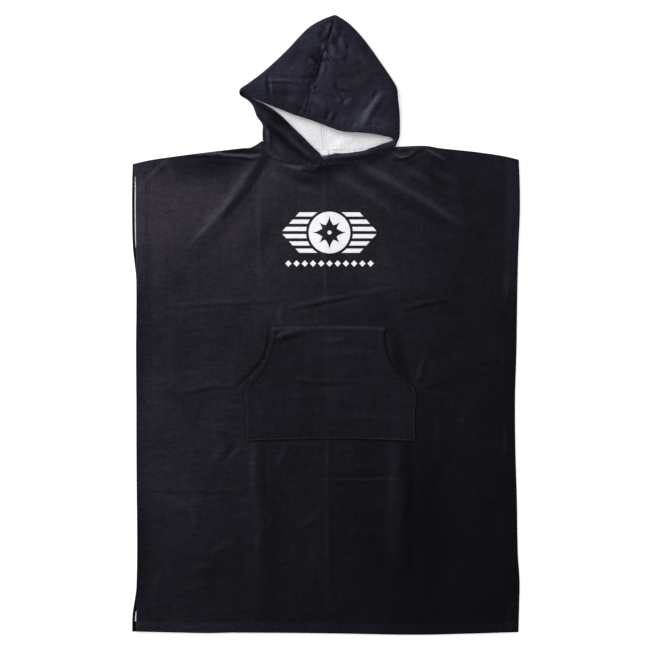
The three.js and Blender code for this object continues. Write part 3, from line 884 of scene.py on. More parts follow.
def wall(name, upper, lower, materials, pile_tone_and_painted_light=None, sides=(0, 1), rims=None):
    """Closed mesh between two grids of points. Sides and rims say which material the faces have:
    the upper and the lower side, and the rim's stretches at the first row, the last row, the
    first column and the last column."""
    rows, columns = upper.shape[:2]
    count = rows * columns
    index = np.arange(count).reshape(rows, columns)
    a, b, c, d = index[:-1, :-1], index[:-1, 1:], index[1:, 1:], index[1:, :-1]
    faces = [np.stack([a, b, c, d], axis=-1), np.stack([a, d, c, b], axis=-1) + count]
    faces = [side.reshape(-1, 4) for side in faces]
    slots = [np.broadcast_to(side, (rows - 1, columns - 1)).ravel() for side in sides]
    rim = (index[0, ::-1], index[-1, :], index[:, 0], index[::-1, -1])
    for number, line in enumerate(rim):
        stretch = [line[:-1], line[1:], line[1:] + count, line[:-1] + count]
        faces.append(np.stack(stretch, axis=-1))
        slots.append(np.broadcast_to((rims or {}).get(number, 0), len(line) - 1))
    faces = np.concatenate(faces)
    points = np.concatenate([upper.reshape(-1, 3), lower.reshape(-1, 3)])
    points = (points + ORIGIN) * MM
    first, second, third = points[faces[:, 0]], points[faces[:, 1]], points[faces[:, 2]]
    if np.einsum("ij,ij->", first, np.cross(second, third)) < 0:
        faces = faces[:, ::-1]
    mesh = bpy.data.meshes.new(name)
    mesh.vertices.add(len(points))
    mesh.vertices.foreach_set("co", points.ravel())
    mesh.loops.add(faces.size)
    mesh.loops.foreach_set("vertex_index", faces.ravel().astype(np.int32))
    mesh.polygons.add(len(faces))
    mesh.polygons.foreach_set("loop_start", np.arange(0, faces.size, 4, dtype=np.int32))
    mesh.polygons.foreach_set("material_index", np.concatenate(slots).astype(np.int32))
    mesh.update(calc_edges=True)
    mesh.validate()
    if pile_tone_and_painted_light is not None:
        # Painted light and shade: lighter where the upper side leans to the upper left, towards the
        # key lamp, darker where it leans away
        pile_tone_and_painted_light = (pile_tone_and_painted_light * np.exp(LEAN_PAINTED_LIGHT * lean(upper))).ravel()
        layer = mesh.attributes.new("pile_tone_and_painted_light", "FLOAT", "POINT")
        layer.data.foreach_set("value", np.concatenate([pile_tone_and_painted_light, pile_tone_and_painted_light]))
    return new_piece(name, mesh, *materials)


# The body

def top_edge(sides, neck_x, neck_y, pitch):
    """The body's upper edge from left to right: shoulder, neck, shoulder."""
    left, right = sides["left"][-1], sides["right"][-1]
    hem = np.array(HEM_STEPS)

    def between(start, stop):
        return np.linspace(start, stop, round((stop - start) / pitch))

    left_x = np.concatenate([left + hem[:-1], between(left + hem[-1], neck_x[0])])
    right_x = np.concatenate([between(neck_x[-1], right - hem[-1]), right - hem[-2::-1]])
    left_y, right_y = (read(rows, "x", "y", x)
                       for rows, x in ((SHOULDER_LEFT, left_x), (SHOULDER_RIGHT, right_x)))
    x = np.concatenate([left_x, neck_x[1:-1], right_x])
    y = np.concatenate([left_y, neck_y[1:-1], right_y])
    return x, y


def body_grid(sides, neck, pitch, top_steps=EDGE_STEPS):
    """Places of a body panel's points, rows from the hem up, with their distance from each edge."""
    top_x, top_y = top_edge(sides, *neck, pitch)
    side_left, side_right = sides["left"][-1], sides["right"][-1]
    share = (top_x - side_left) / (side_right - side_left)
    foot_x = mix(sides["left"][0], sides["right"][0], share)
    foot_y = read(HEM_LINE, "x", "y", foot_x)
    rows = spaced(BODY_LENGTH, pitch, HEM_STEPS, top_steps)[:, None] / BODY_LENGTH
    y = mix(foot_y, top_y, rows)
    left, right = read(sides, "y", "left", y), read(sides, "y", "right", y)
    x = mix(left, right, share)
    return x, y, np.minimum(x - left, right - x), y - foot_y, top_y - y


def neck_front(count_left, count_right):
    """Places along the neck's front edge, from the left shoulder to the right one."""
    left = np.linspace(0, 1, count_left + 1)
    right = np.linspace(0, 1, count_right + 1)[1:]
    return [np.concatenate([read(NECK_FRONT_LEFT, "along", column, left),
                            read(NECK_FRONT_RIGHT, "along", column, right)]) for column in "xy"]


def side_hem(y):
    """Share of a hem at the body's side: the armholes and the short vents have one."""
    armhole = clamp01((y - ARMHOLE_FOOT) / ARMHOLE_FADE)
    return np.maximum(armhole, clamp01((VENT_HEAD - y) / VENT_FADE))


def front_panel():
    """The front, with hems at its armholes, vents and foot, and with stitched seams elsewhere."""
    grid = body_grid(FRONT_SIDES, neck_front(*FRONT_NECK_COLUMNS), FRONT_STEP, TOP_STEPS)
    x, y, from_side, from_hem, from_top = grid
    full = fullness(np.minimum(np.minimum(from_side, from_hem), from_top))
    on_side = side_hem(y)
    hem = hem_profile(from_side, y, ARMHOLE_DEPTH) * on_side + hem_profile(from_hem, x)
    seam = groove_at(from_side, SEAM_STITCH) * (1 - on_side) + groove_at(from_top, SEAM_STITCH, 0.4)
    middle = FRONT_UNDERSIDE + front_rise(x, y) + HALF_CLOTH
    upper = stack(x, y, middle + (HALF_CLOTH + front_relief(x, y) + hem + seam) * full)
    lower = stack(x, y, middle - HALF_CLOTH * full)
    # Painted light and shade of the pile: lighter on the hems and the right armhole's hem, darker
    # just under the neck, lighter on ridges and darker in troughs
    on_hem = band(from_hem, HEM_DEPTH, 2) * HEM_PAINTED_LIGHT
    on_armhole = band(from_side, ARMHOLE_DEPTH, 6) * on_side * RIGHT_ARMHOLE_PAINTED_LIGHT * (x > 0)
    in_neck = (x > NECK_PAINTED_SHADE_REACH[0]) & (x < NECK_PAINTED_SHADE_REACH[1])
    under_neck = ease(NECK_PAINTED_SHADE_SHARE - from_top / NECK_PAINTED_SHADE_DEPTH) * in_neck * NECK_PAINTED_SHADE
    pile_tone_and_painted_light = front_tone_and_painted_light(x, y) * np.exp(CREST_PAINTED_LIGHT * fold_height(FRONT_CREASES, x, y))
    pile_tone_and_painted_light *= 1 + on_hem + on_armhole + under_neck
    piece = wall("poncho_front", upper, lower, (velour_body, terry), pile_tone_and_painted_light)
    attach(piece, "root")
    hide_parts("front_panel")


def back_panel():
    """The back, which lies flat with shallow troughs in its underside."""
    neck_left, neck_right = NECK_BACK["x"][0], NECK_BACK["x"][-1]
    neck_x = np.linspace(neck_left, neck_right, BACK_NECK_COLUMNS)
    neck = neck_x, read(NECK_BACK, "x", "y", neck_x)
    x, y, from_side, from_hem, from_top = body_grid(BACK_SIDES, neck, BACK_STEP)
    follow = BACK_SHARE * front_rise(x, y)
    trough = fold_height(BACK_CREASES, x, y)
    at_neck = (x > neck_left + NECK_CORNER) & (x < neck_right - NECK_CORNER)
    edge = np.minimum(from_side, from_hem)
    full = fullness(np.minimum(edge, np.where(at_neck, FAR, from_top)))
    upper = stack(x, y, follow + HALF_CLOTH + HALF_CLOTH * full)
    lower = stack(x, y, follow + trough + (HALF_CLOTH - trough) * (1 - full))
    # Painted light and shade of the pile, mirrored from the front's, darker over the troughs
    pile_tone_and_painted_light = front_tone_and_painted_light(-x, y) * np.exp(-CREST_PAINTED_LIGHT * trough)
    # Faces of the upper side that show loops: inside the hems, in the armholes and the left
    # vent, and in the neck, but not close to the front's neck edge, where the dark pile left
    # there is painted shade in the slit of the neck's seam
    edge = np.minimum(edge, from_top)[:-1, :-1]
    x, y, from_side = x[:-1, :-1], y[:-1, :-1], from_side[:-1, :-1]
    in_armhole = (y > ARMHOLE_LOOPS[0]) & (y < ARMHOLE_LOOPS[1])
    looped = (edge > HEM_DEPTH) | (in_armhole & (edge > LOOPS_INSIDE))
    looped |= (np.abs(x) < NECK_LOOPS[0]) & (y > NECK_LOOPS[1])
    looped &= np.abs(np.interp(x, *neck_front(*NECK_SHADE_COLUMNS)) - y) > NECK_SHADE
    in_vent = np.abs(y - VENT_LOOPS[0]) < VENT_LOOPS[1]
    looped |= in_vent & (from_side > LOOPS_INSIDE) & (x < 0)
    piece = wall("poncho_back", upper, lower, (velour_body, terry), pile_tone_and_painted_light, (looped.astype(int), 0),
                 {1: at_neck[-1, :-1].astype(int)})
    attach(piece, "root")
    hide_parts("back_panel")


# The pocket

def kangaroo_pocket():
    """The pocket's panel. Gives the lines of its stitches: all round it near the edge, and
    inside the hem of each opening."""
    foot, head = POCKET_SIDES["y"][0], POCKET_SIDES["y"][-1]
    rows = spaced(head - foot, POCKET_STEP, POCKET_STEPS, POCKET_STEPS) + foot
    share = spaced(POCKET_WIDTH, POCKET_STEP, POCKET_STEPS, POCKET_STEPS) / POCKET_WIDTH
    share, side = np.meshgrid(share, rows)
    left, right = read(POCKET_SIDES, "y", "left", side), read(POCKET_SIDES, "y", "right", side)
    x = mix(left, right, share)
    row_share = (side - foot) / (head - foot)
    y = side + mix(POCKET_BOW, POCKET_TOP_BOW, row_share) * np.sin(np.pi * share)
    from_side = np.minimum(x - left, right - x)
    from_ends = np.minimum(side - foot, head - side)
    from_foot, from_head = side - POCKET_OPENING_FOOT, head - side
    fade_foot, fade_head = POCKET_OPENING_FADES
    opening = clamp01(from_foot / fade_foot) * clamp01(from_head / fade_head)
    puff = POCKET_PUFF * (np.sin(np.pi * share) * np.sin(np.pi * row_share)) ** POCKET_PUFF_CURVE
    up_opening = clamp01(from_foot / (head - POCKET_OPENING_FOOT))
    gape = opening * ease(1 - from_side / POCKET_GAPE_REACH) * np.sin(np.pi * up_opening)
    middle = front_rise(x, y) + POCKET_UNDERSIDE + puff + POCKET_GAPE * gape + HALF_CLOTH
    creases = fold_height(POCKET_CREASES, x, y)
    relief = np.maximum(creases + unevenness(x + POCKET_SHIFT, y), POCKET_TROUGH)
    hem = POCKET_HEM_EXTRA * opening * band(from_side, POCKET_HEM_STITCH + 1, 2)
    grooves = groove_at(from_side, POCKET_HEM_STITCH, POCKET_HEM_EXTRA) * opening
    grooves += groove_at(from_side, POCKET_EDGE_STITCH) * (1 - opening)
    grooves += groove_at(from_ends, POCKET_EDGE_STITCH)
    full = fullness(np.minimum(from_side, from_ends))
    upper = stack(x, y, middle + (HALF_CLOTH + relief + hem + grooves) * full)
    lower = stack(x, y, middle - HALF_CLOTH * full)
    # Painted highlight along the top hem, lighter ridges and darker troughs
    on_top_hem = clamp01((POCKET_HEM_STITCH - 1 - from_head) / 3) * POCKET_TOP_PAINTED_HIGHLIGHT
    pile_tone_and_painted_light = POCKET_LIGHTNESS * np.exp(CREST_PAINTED_LIGHT * creases) * (1 + on_top_hem)
    piece = wall("poncho_pocket", upper, lower, (velour_body, terry), pile_tone_and_painted_light)
    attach(piece, "root")
    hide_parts("kangaroo_pocket")
    edge_line = POCKET_STEPS.index(POCKET_EDGE_STITCH)
    hem_line = POCKET_STEPS.index(POCKET_HEM_STITCH)
    last_row, last_column = len(rows) - 1, upper.shape[1] - 1
    opening_row = int(np.searchsorted(rows, POCKET_OPENING_FOOT))
    inner = slice(edge_line, last_column + 1 - edge_line)
    outline = [upper[edge_line, inner], upper[last_row - edge_line, inner]]
    for column in (edge_line, last_column - edge_line):
        outline.append(upper[edge_line:opening_row + 2, column])
    hems = [upper[opening_row:last_row - edge_line, column]
            for column in (hem_line, last_column - hem_line)]
    return outline, hems


# The hood

UNDER_SHARES = spaced(HOOD_WIDTH, UNDER_STEP, UNDER_STEPS, (0,))[:-1] / HOOD_WIDTH


def neck_point(side, p):
    """The neck edge of a half of the hood, from the shoulder (0) to the point in front (1)."""
    rows, along = (NECK_FRONT_LEFT, p) if side < 0 else (NECK_FRONT_RIGHT, 1 - p)
    x, y = read(rows, "along", "x", along), read(rows, "along", "y", along)
    return stack(x, y + NECK_GAP, FRONT_UNDERSIDE + front_rise(x, y) + HALF_CLOTH)


def hood_layers(side, r, at):
    """The lower layer, from the centre back seam out to the fold, with its points' distance
    from that seam, and the fold's half circle."""
    way = np.radians(at["way"])
    out_x, out_y = np.cos(way), np.sin(way)
    turn_x = at["fx"] - out_x * (at["radius"] + HALF_CLOTH) + side * SEAM_GAP / 2 * (r >= 1)
    turn_y = at["fy"] - out_y * (at["radius"] + HALF_CLOTH)
    seam_x = read(BACK_SEAM, "along", "x", r) + side * SEAM_GAP / 2
    seam_y = read(BACK_SEAM, "along", "y", r)
    p = UNDER_SHARES
    x, y = mix(seam_x, turn_x, p), mix(seam_y, turn_y, p)
    near_neck = clamp01(1 - r / NECK_SEAM_FADE)
    y = mix(y, read(NECK_BACK, "x", "y", x) + SEAM_GAP, near_neck * (1 - p ** 6))
    under = stack(x, y, HALF_CLOTH)
    angle = np.linspace(0, np.pi, TURN_COLUMNS)
    reach = at["radius"] * np.sin(angle)
    rise = HALF_CLOTH + at["radius"] * (1 - np.cos(angle))
    turn = stack(turn_x + out_x * reach, turn_y + out_y * reach, rise)
    return under, np.hypot(x - seam_x, y - seam_y), turn


def hood_flap(side, r, at, top):
    """The upper layer, from the fold to the edge of the face opening: its points, their distance
    from that edge, how much the hem is squeezed there, and the height of the creases."""
    edge = stack(at["ex"], at["ey"], at["ez"])
    length = np.linalg.norm(edge - top, axis=2)
    squeeze = np.minimum(1, length / FULL_HEM_LENGTH)
    from_end = HOOD_WIDTH - spaced(HOOD_WIDTH, FLAP_STEP, (0,), HEM_STEPS)[1:]
    last = HEM_STEPS[-1]
    past_hem = last * squeeze + (from_end - last) / (HOOD_WIDTH - last) * (length - last * squeeze)
    distance = np.where(from_end <= last, from_end * squeeze, past_hem)
    q = 1 - distance / length
    flap = top + (edge - top) * q[..., None]
    flap[..., 2] += at["puff"] * np.sin(np.pi * q)
    # Towards the neck it follows the neck's edge
    neck = neck_point(side, q)
    neck_start, neck_end = neck_point(side, 0 * q), neck_point(side, 0 * q + 1)
    straight = neck_start + (neck_end - neck_start) * q[..., None]
    flap += (neck - straight) * (clamp01(1 - r / NECK_FADE) ** 2)[..., None]
    flap = mix(flap, neck, clamp01(1 - r / NECK_SEAM_FADE)[..., None])
    # The left face hem passes over the right one where they meet in front
    if side < 0:
        over = ease(1 - r / CROSSING_ROWS) * ease(1 - (1 - q) / CROSSING_SHARE)
        flap += over[..., None] * (CROSSING_WIDTH, 0, CROSSING_RISE)
    # Towards the crown it follows the seam there, which is puckered
    crown = ease((r - 1 + CROWN_FADE) / CROWN_FADE)
    for axis, column in enumerate("xyz"):
        line = CROWN_SEAM[column]
        bow = read(CROWN_SEAM, "along", column, q) - mix(line[0], line[-1], q)
        flap[..., axis] += bow * crown
    x, y = flap[..., 0], flap[..., 1]
    flap[..., 2] += fold_height(HOOD_FOLDS, x, y) * ease(r / NECK_FADE) * (1 - crown)
    flap[..., 2] += FLAP_UNEVENNESS * unevenness(x, y) * ease(r / 0.1) * ease(q * 8)
    wave = np.sin(2 * np.pi * q * length / PUCKER_LENGTH + 1.7 * np.sin(q * 23))
    pucker = PUCKER_HEIGHT * wave * (0.6 + 0.4 * np.sin(q * 41)) * (1 - 0.7 * ease((q - 0.2) / 0.6))
    flap[..., 2] += pucker * ease(1 - (1 - r) * CROWN_LENGTH / PUCKER_REACH)
    creases = fold_height(HOOD_CREASES, x, y)
    flap[..., 2] += creases * ease(q * 6)
    over_floor = (flap[..., 2] - FLAP_FLOOR) / FLAP_SOFTNESS
    flap[..., 2] = FLAP_FLOOR + FLAP_SOFTNESS * np.logaddexp(0, over_floor)
    return flap, distance, squeeze, creases


def hood_half(name, rows, side, node):
    """One half of the hood. Gives it with the lines of the stitches in its hem and at the
    centre back."""
    r = spaced(HOOD_LENGTH, HOOD_ROW_STEP)[:, None] / HOOD_LENGTH
    at = {c: read(rows, "row", c, r) for c in HOOD_COLUMNS.split()[1:]}
    under, seam_distance, turn = hood_layers(side, r, at)
    flap, distance, squeeze, creases = hood_flap(side, r, at, turn[:, -1:])
    middle = np.concatenate([under, turn, flap], axis=1)
    widths = under.shape[1], turn.shape[1], flap.shape[1]

    def joined(*parts):
        """Values of the three stretches side by side. One value does for a whole stretch."""
        spread = [np.broadcast_to(part, (len(r), width)) for part, width in zip(parts, widths)]
        return np.concatenate(spread, axis=1)

    # The cloth is thick along the grid's normals
    normal = np.cross(np.gradient(middle, axis=0), np.gradient(middle, axis=1)) * side
    normal[0, :, 1] = 0
    normal[-1, :, 0] = 0
    normal[:, :widths[0]] = (0, 0, -1)
    normal /= np.linalg.norm(normal, axis=2, keepdims=True)
    from_seam = joined(seam_distance, FAR, FAR)
    from_face = joined(FAR, FAR, distance)
    from_neck = np.broadcast_to(r * HOOD_LENGTH, from_seam.shape)
    from_peak = np.broadcast_to((1 - r) * CROWN_LENGTH, from_seam.shape)
    at_neck = joined(UNDER_SHARES < UNDER_AT_NECK, False, False)
    ends = np.where(at_neck, FAR, np.minimum(from_neck, from_peak))
    full = fullness(np.minimum(np.minimum(from_seam, from_face), ends))
    hem = hem_profile(from_face / joined(1, 1, squeeze), from_neck)
    hem += groove_at(from_peak, SEAM_STITCH, 0.6) + groove_at(from_neck, SEAM_STITCH, 0.5)
    outwards = HALF_CLOTH + np.where(from_face < FAR, hem, 0)
    seam_band = SEAM_BAND_HEIGHT * ease((SEAM_BAND_WIDTH - from_seam) / SEAM_BAND_FADE)
    seam_band *= side > 0
    lining = joined(fold_height(LINING_CREASES, under[..., 0], under[..., 1]), 0, 0)
    outer = middle + normal * (outwards * full)[..., None]
    inner = middle - normal * ((HALF_CLOTH + lining + seam_band) * full)[..., None]
    # Painted light and shade of the hood's pile: patches, lighter ridges and darker troughs, and on
    # the right a painted highlight along the face hem's edge beside the neck
    pile_tone_and_painted_light = HOOD_LIGHTNESS + patches(HOOD_PAINTED_PATCHES, middle[..., 0], middle[..., 1])
    pile_tone_and_painted_light = np.maximum(pile_tone_and_painted_light, LEAST_HOOD_LIGHTNESS) * np.exp(HOOD_CREST_PAINTED_LIGHT * joined(0, 0, creases))
    if side > 0:
        x = flap[..., 0]
        by_neck = (r[:, 0] > FACE_EDGE_ROWS[0]) & (r[:, 0] < FACE_EDGE_ROWS[1])
        from_edge = np.interp(x, at["ex"][by_neck, 0], at["ey"][by_neck, 0]) - flap[..., 1]
        lit = ease(FACE_EDGE_SHARE - from_edge / FACE_EDGE_DEPTH)
        lit *= ease((FACE_EDGE_HEAD - r) / FACE_EDGE_FADE) * (x > FACE_EDGE_START)
        lit *= 1 - 0.5 * ease((x - FACE_EDGE_DIM) / FACE_EDGE_DIM_FADE)
        pile_tone_and_painted_light[:, -widths[2]:] += FACE_EDGE_PAINTED_HIGHLIGHT * lit
    rims = {0: at_neck[0, -2::-1].astype(int), 2: 1}
    piece = wall(name, outer, inner, (velour_hood, terry), pile_tone_and_painted_light, rims=rims)
    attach(piece, "root")
    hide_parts(node)
    hem_column = middle.shape[1] - 1 - HEM_STEPS.index(HEM_DEPTH - STITCH_INSIDE)
    stitched = slice(BARE_ROWS, -BARE_ROWS)
    return piece, outer[stitched, hem_column], inner[stitched, 1]


def neck_label():
    """A plain tape that hangs from the neck's seam."""
    foot = float(read(NECK_BACK, "x", "y", np.array(LABEL_LEFT))) - 2 * SEAM_GAP - LABEL_HEIGHT
    across, along = (spaced(size, LABEL_STEP, LABEL_STEPS, LABEL_STEPS)
                     for size in (LABEL_WIDTH, LABEL_HEIGHT))
    x, y = np.meshgrid(LABEL_LEFT + across, foot + along)
    hangs = clamp01((foot + LABEL_HEIGHT - y) / LABEL_HEIGHT)
    curl = LABEL_CURL * (2 * (x - LABEL_LEFT) / LABEL_WIDTH - 1) ** 2 * hangs
    under = FRONT_UNDERSIDE + LABEL_STANDS + curl
    upper, lower = stack(x, y, under + LABEL_THICKNESS), stack(x, y, under)
    piece = wall("neck_label_tape", upper, lower, (tape,), sides=(0, 0))
    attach(piece, "root")
    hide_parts("neck_label")


# Materials

class Shader:
    """The nodes of one material, with short ways to add and join them."""

    def __init__(self, name):
        self.material = bpy.data.materials.new(name)
        self.material.use_nodes = True
        self.nodes = self.material.node_tree.nodes
        self.links = self.material.node_tree.links
        self.surface = self.nodes["Principled BSDF"]
        self.place = self.add("ShaderNodeTexCoord").outputs["Object"]

    def add(self, kind, inputs=None, **settings):
        node = self.nodes.new(kind)
        for key, value in settings.items():
            setattr(node, key, value)
        for key, value in (inputs or {}).items():
            self.set(node.inputs[key], value)
        return node

    def set(self, socket, value):
        if isinstance(value, bpy.types.NodeSocket):
            self.links.new(value, socket)
        else:
            socket.default_value = value

    def math(self, operation, a, b=0.0, clamp=False):
        node = self.add("ShaderNodeMath", {0: a, 1: b}, operation=operation, use_clamp=clamp)
        return node.outputs[0]

    def plus(self, a, b):
        return self.math("ADD", a, b)

    def minus(self, a, b, clamp=False):
        return self.math("SUBTRACT", a, b, clamp)

    def times(self, a, b):
        return self.math("MULTIPLY", a, b)

    def size(self, a):
        return self.math("ABSOLUTE", a)

    def scaled(self, x, y, z):
        node = self.add("ShaderNodeMapping", {"Vector": self.place, "Scale": (x, y, z)})
        return node.outputs["Vector"]

    def noise(self, vector, scale, detail=2.0, roughness=0.5, distortion=0.0):
        inputs = {"Vector": vector, "Scale": scale, "Detail": detail, "Roughness": roughness,
                  "Distortion": distortion}
        return self.add("ShaderNodeTexNoise", inputs).outputs["Fac"]

    def wave(self, direction, scale, distortion, detail=2.0):
        inputs = {"Vector": self.place, "Scale": scale, "Distortion": distortion,
                  "Detail": detail}
        return self.add("ShaderNodeTexWave", inputs, bands_direction=direction).outputs["Fac"]

    def ramp(self, value, low, high, to_low=0.0, to_high=1.0, smooth=True):
        inputs = {"Value": value, "From Min": low, "From Max": high, "To Min": to_low,
                  "To Max": to_high}
        kind = "SMOOTHSTEP" if smooth else "LINEAR"
        return self.add("ShaderNodeMapRange", inputs, interpolation_type=kind).outputs["Result"]

    def colours(self, factor, first, second):
        """Mix of two colours, each a socket or three numbers."""
        node = self.add("ShaderNodeMix", data_type="RGBA")
        self.set(node.inputs["Factor"], factor)
        for number, colour in ((6, first), (7, second)):
            self.set(node.inputs[number], (*colour, 1) if isinstance(colour, tuple) else colour)
        return node.outputs[2]

    def bump(self, height, distance, strength=1.0, before=None):
        inputs = {"Height": height, "Distance": distance, "Strength": strength}
        if before is not None:
            inputs["Normal"] = before
        return self.add("ShaderNodeBump", inputs).outputs["Normal"]

    def finish(self, **sockets):
        """Set the surface's own sockets, to constants or to other nodes' results."""
        for key, value in sockets.items():
            self.set(self.surface.inputs[key.replace("_", " ")], value)
        return self.material


def compass_print(s):
    """Mask of a white print on the chest: a disc with a compass star left dark in it, slanted
    bars at both sides and a row of small diamonds below."""
    split = s.add("ShaderNodeSeparateXYZ", {0: s.place})
    ragged = s.times(s.minus(s.noise(s.place, 900.0), 0.5), PRINT_RAGGED)
    x = s.plus(s.minus(split.outputs["X"], PRINT_X), ragged)
    y = s.plus(s.minus(split.outputs["Y"], PRINT_Y), ragged)
    half_x, half_y = s.size(x), s.size(y)
    radius = s.math("SQRT", s.plus(s.times(x, x), s.times(y, y)))

    def within(value, edge, soft=PRINT_EDGE):
        return s.ramp(value, edge - soft, edge + soft, 1.0, 0.0)

    def star(u, v, reach):
        """Four points along u and v, with hollow sides."""
        along, up = (s.math("POWER", s.math("DIVIDE", way, reach), POINT_CURVE) for way in (u, v))
        return within(s.plus(along, up), 1.0, 0.012)

    def repeated(value, pitch, offset=0.0):
        """Distance from the middle of the nearest of evenly spaced rows."""
        cell = s.minus(s.math("FRACT", s.plus(s.math("DIVIDE", value, pitch), offset)), 0.5)
        return s.size(s.times(cell, pitch))

    turned_u = s.times(s.plus(half_x, half_y), math.sqrt(0.5))
    turned_v = s.times(s.size(s.minus(half_x, half_y)), math.sqrt(0.5))
    upright, turned = star(half_x, half_y, LONG_POINTS), star(turned_u, turned_v, SHORT_POINTS)
    dark = s.minus(s.math("MAXIMUM", upright, turned), within(radius, HUB_RADIUS), clamp=True)
    disc = s.minus(within(radius, DISC_RADIUS), dark, clamp=True)
    bars = within(repeated(y, BAR_PITCH), BAR_HALF_HEIGHT)
    bars = s.times(bars, s.minus(1.0, within(radius, BAR_CLEARANCE)))
    bars = s.times(bars, within(s.plus(half_x, s.times(half_y, BAR_SLANT)), BAR_REACH))
    bars = s.times(bars, within(half_y, BAR_ROWS * BAR_PITCH))
    across = s.math("DIVIDE", repeated(x, DIAMOND_PITCH, 0.5), DIAMOND_HALF)
    down = s.size(s.minus(s.plus(split.outputs["Y"], ragged), DIAMOND_Y))
    diamonds = within(s.plus(across, s.math("DIVIDE", down, DIAMOND_HALF)), 1.0, 0.05)
    diamonds = s.times(diamonds, within(half_x, DIAMOND_REACH))
    mask = s.math("MAXIMUM", s.math("MAXIMUM", disc, bars), diamonds)
    up = s.add("ShaderNodeSeparateXYZ", {0: s.add("ShaderNodeTexCoord").outputs["Normal"]})
    return s.times(mask, s.ramp(up.outputs["Z"], 0.2, 0.5))


def velour(name, dark, light, mottling, printed=False):
    """Cut pile: nearly black, with painted light and shade from the mesh: lighter where the cloth
    leans towards the light and along the crests of creases.
    """
    s = Shader(name)
    clouds = s.noise(s.scaled(1.0, 0.8, 1.0), 9.0, 3.0, 0.55)
    streaks = s.noise(s.scaled(120.0, 16.0, 16.0), 1.0, 3.0, 0.6)
    crinkles = s.noise(s.scaled(42.0, 115.0, 60.0), 1.0, 4.0, 0.66, 0.8)
    pile = s.noise(s.place, 190.0, 4.0, 0.75)
    uneven = 1.0
    for part, share in ((clouds, 0.7), (streaks, 0.5), (crinkles, 1.0), (pile, 1.3)):
        uneven = s.plus(s.times(s.minus(part, 0.5), share * mottling), uneven)
    # The pile's tone with the mesh's painted light and shade, made uneven at random
    pile_tone_and_painted_light = s.times(s.add("ShaderNodeAttribute", attribute_name="pile_tone_and_painted_light").outputs["Fac"], uneven)
    colour = s.colours(s.ramp(pile_tone_and_painted_light, 0.0, LIGHTNESS_TOP, smooth=False), dark, light)
    normal = s.bump(crinkles, 0.0022)
    normal = s.bump(s.noise(s.place, 330.0, 3.0, 0.6), 0.0009, 0.6, normal)
    normal = s.bump(s.noise(s.place, 1400.0, 2.0, 0.6), 0.0007, 0.7, normal)
    roughness = 0.92
    if printed:
        mask = compass_print(s)
        worn = s.ramp(s.noise(s.place, 1100.0, 3.0, 0.6), 0.25, 0.5, 0.86, 1.0)
        colour = s.colours(s.times(mask, worn), colour, (0.80, 0.80, 0.82))
        roughness = s.ramp(mask, 0.0, 1.0, roughness, 0.62)
        normal = s.bump(mask, 0.0005, 0.5, normal)
    return s.finish(Base_Color=colour, Roughness=roughness, Normal=normal, Sheen_Weight=0.02,
                    Sheen_Roughness=0.45, Sheen_Tint=(0.62, 0.60, 0.80, 1),
                    Specular_IOR_Level=0.03)


def terry_cloth():
    """White loops: small soft lumps in rows, greyer between them, which is painted shade, and
    greyer at random over the cloth.
    """
    s = Shader("terry_white")
    inputs = {"Vector": s.place, "Scale": 560.0, "Randomness": 0.85}
    loops = s.add("ShaderNodeTexVoronoi", inputs, feature="F1").outputs["Distance"]
    lump = s.ramp(loops, 0.05, 0.75, 1.0, 0.0)
    clumps = s.noise(s.place, 150.0, 3.0, 0.6)
    slow = s.noise(s.place, 22.0)
    # Painted shade between the loops, with tone that differs at random in clumps and slowly
    shade = s.plus(s.times(lump, 0.5), s.times(clumps, 0.5))
    shade = s.plus(shade, s.times(s.minus(slow, 0.5), 0.5))
    colour = s.colours(s.ramp(shade, 0.2, 0.8), (0.70, 0.70, 0.73), (0.94, 0.94, 0.955))
    normal = s.bump(clumps, 0.0016, 0.6, s.bump(lump, 0.0012, 0.8))
    return s.finish(Base_Color=colour, Normal=normal, Roughness=0.95, Sheen_Weight=0.15,
                    Specular_IOR_Level=0.15)


def thread(name, dark, light):
    """Twisted cotton thread."""
    s = Shader(name)
    twist = s.wave("DIAGONAL", 700.0, 1.5, 1.0)
    return s.finish(Base_Color=s.colours(twist, dark, light), Normal=s.bump(twist, 0.0002, 0.6),
                    Roughness=0.8, Specular_IOR_Level=0.06)


def woven_tape():
    s = Shader("label_tape")
    weave = s.times(s.wave("X", 900.0, 0.4), s.wave("Y", 900.0, 0.4))
    colour = s.colours(s.ramp(weave, 0.0, 1.0), (0.70, 0.70, 0.73), (0.86, 0.86, 0.88))
    return s.finish(Base_Color=colour, Normal=s.bump(weave, 0.0002, 0.5), Roughness=0.7)


def floor_paint():
    s = Shader("studio_floor")
    colour = s.colours(s.noise(s.place, 6.0), (0.90, 0.90, 0.90), (0.92, 0.92, 0.92))
    return s.finish(Base_Color=colour, Roughness=0.9, Specular_IOR_Level=0.1,
                    Emission_Color=(1.0, 1.0, 1.0, 1), Emission_Strength=0.32)


# Sewing

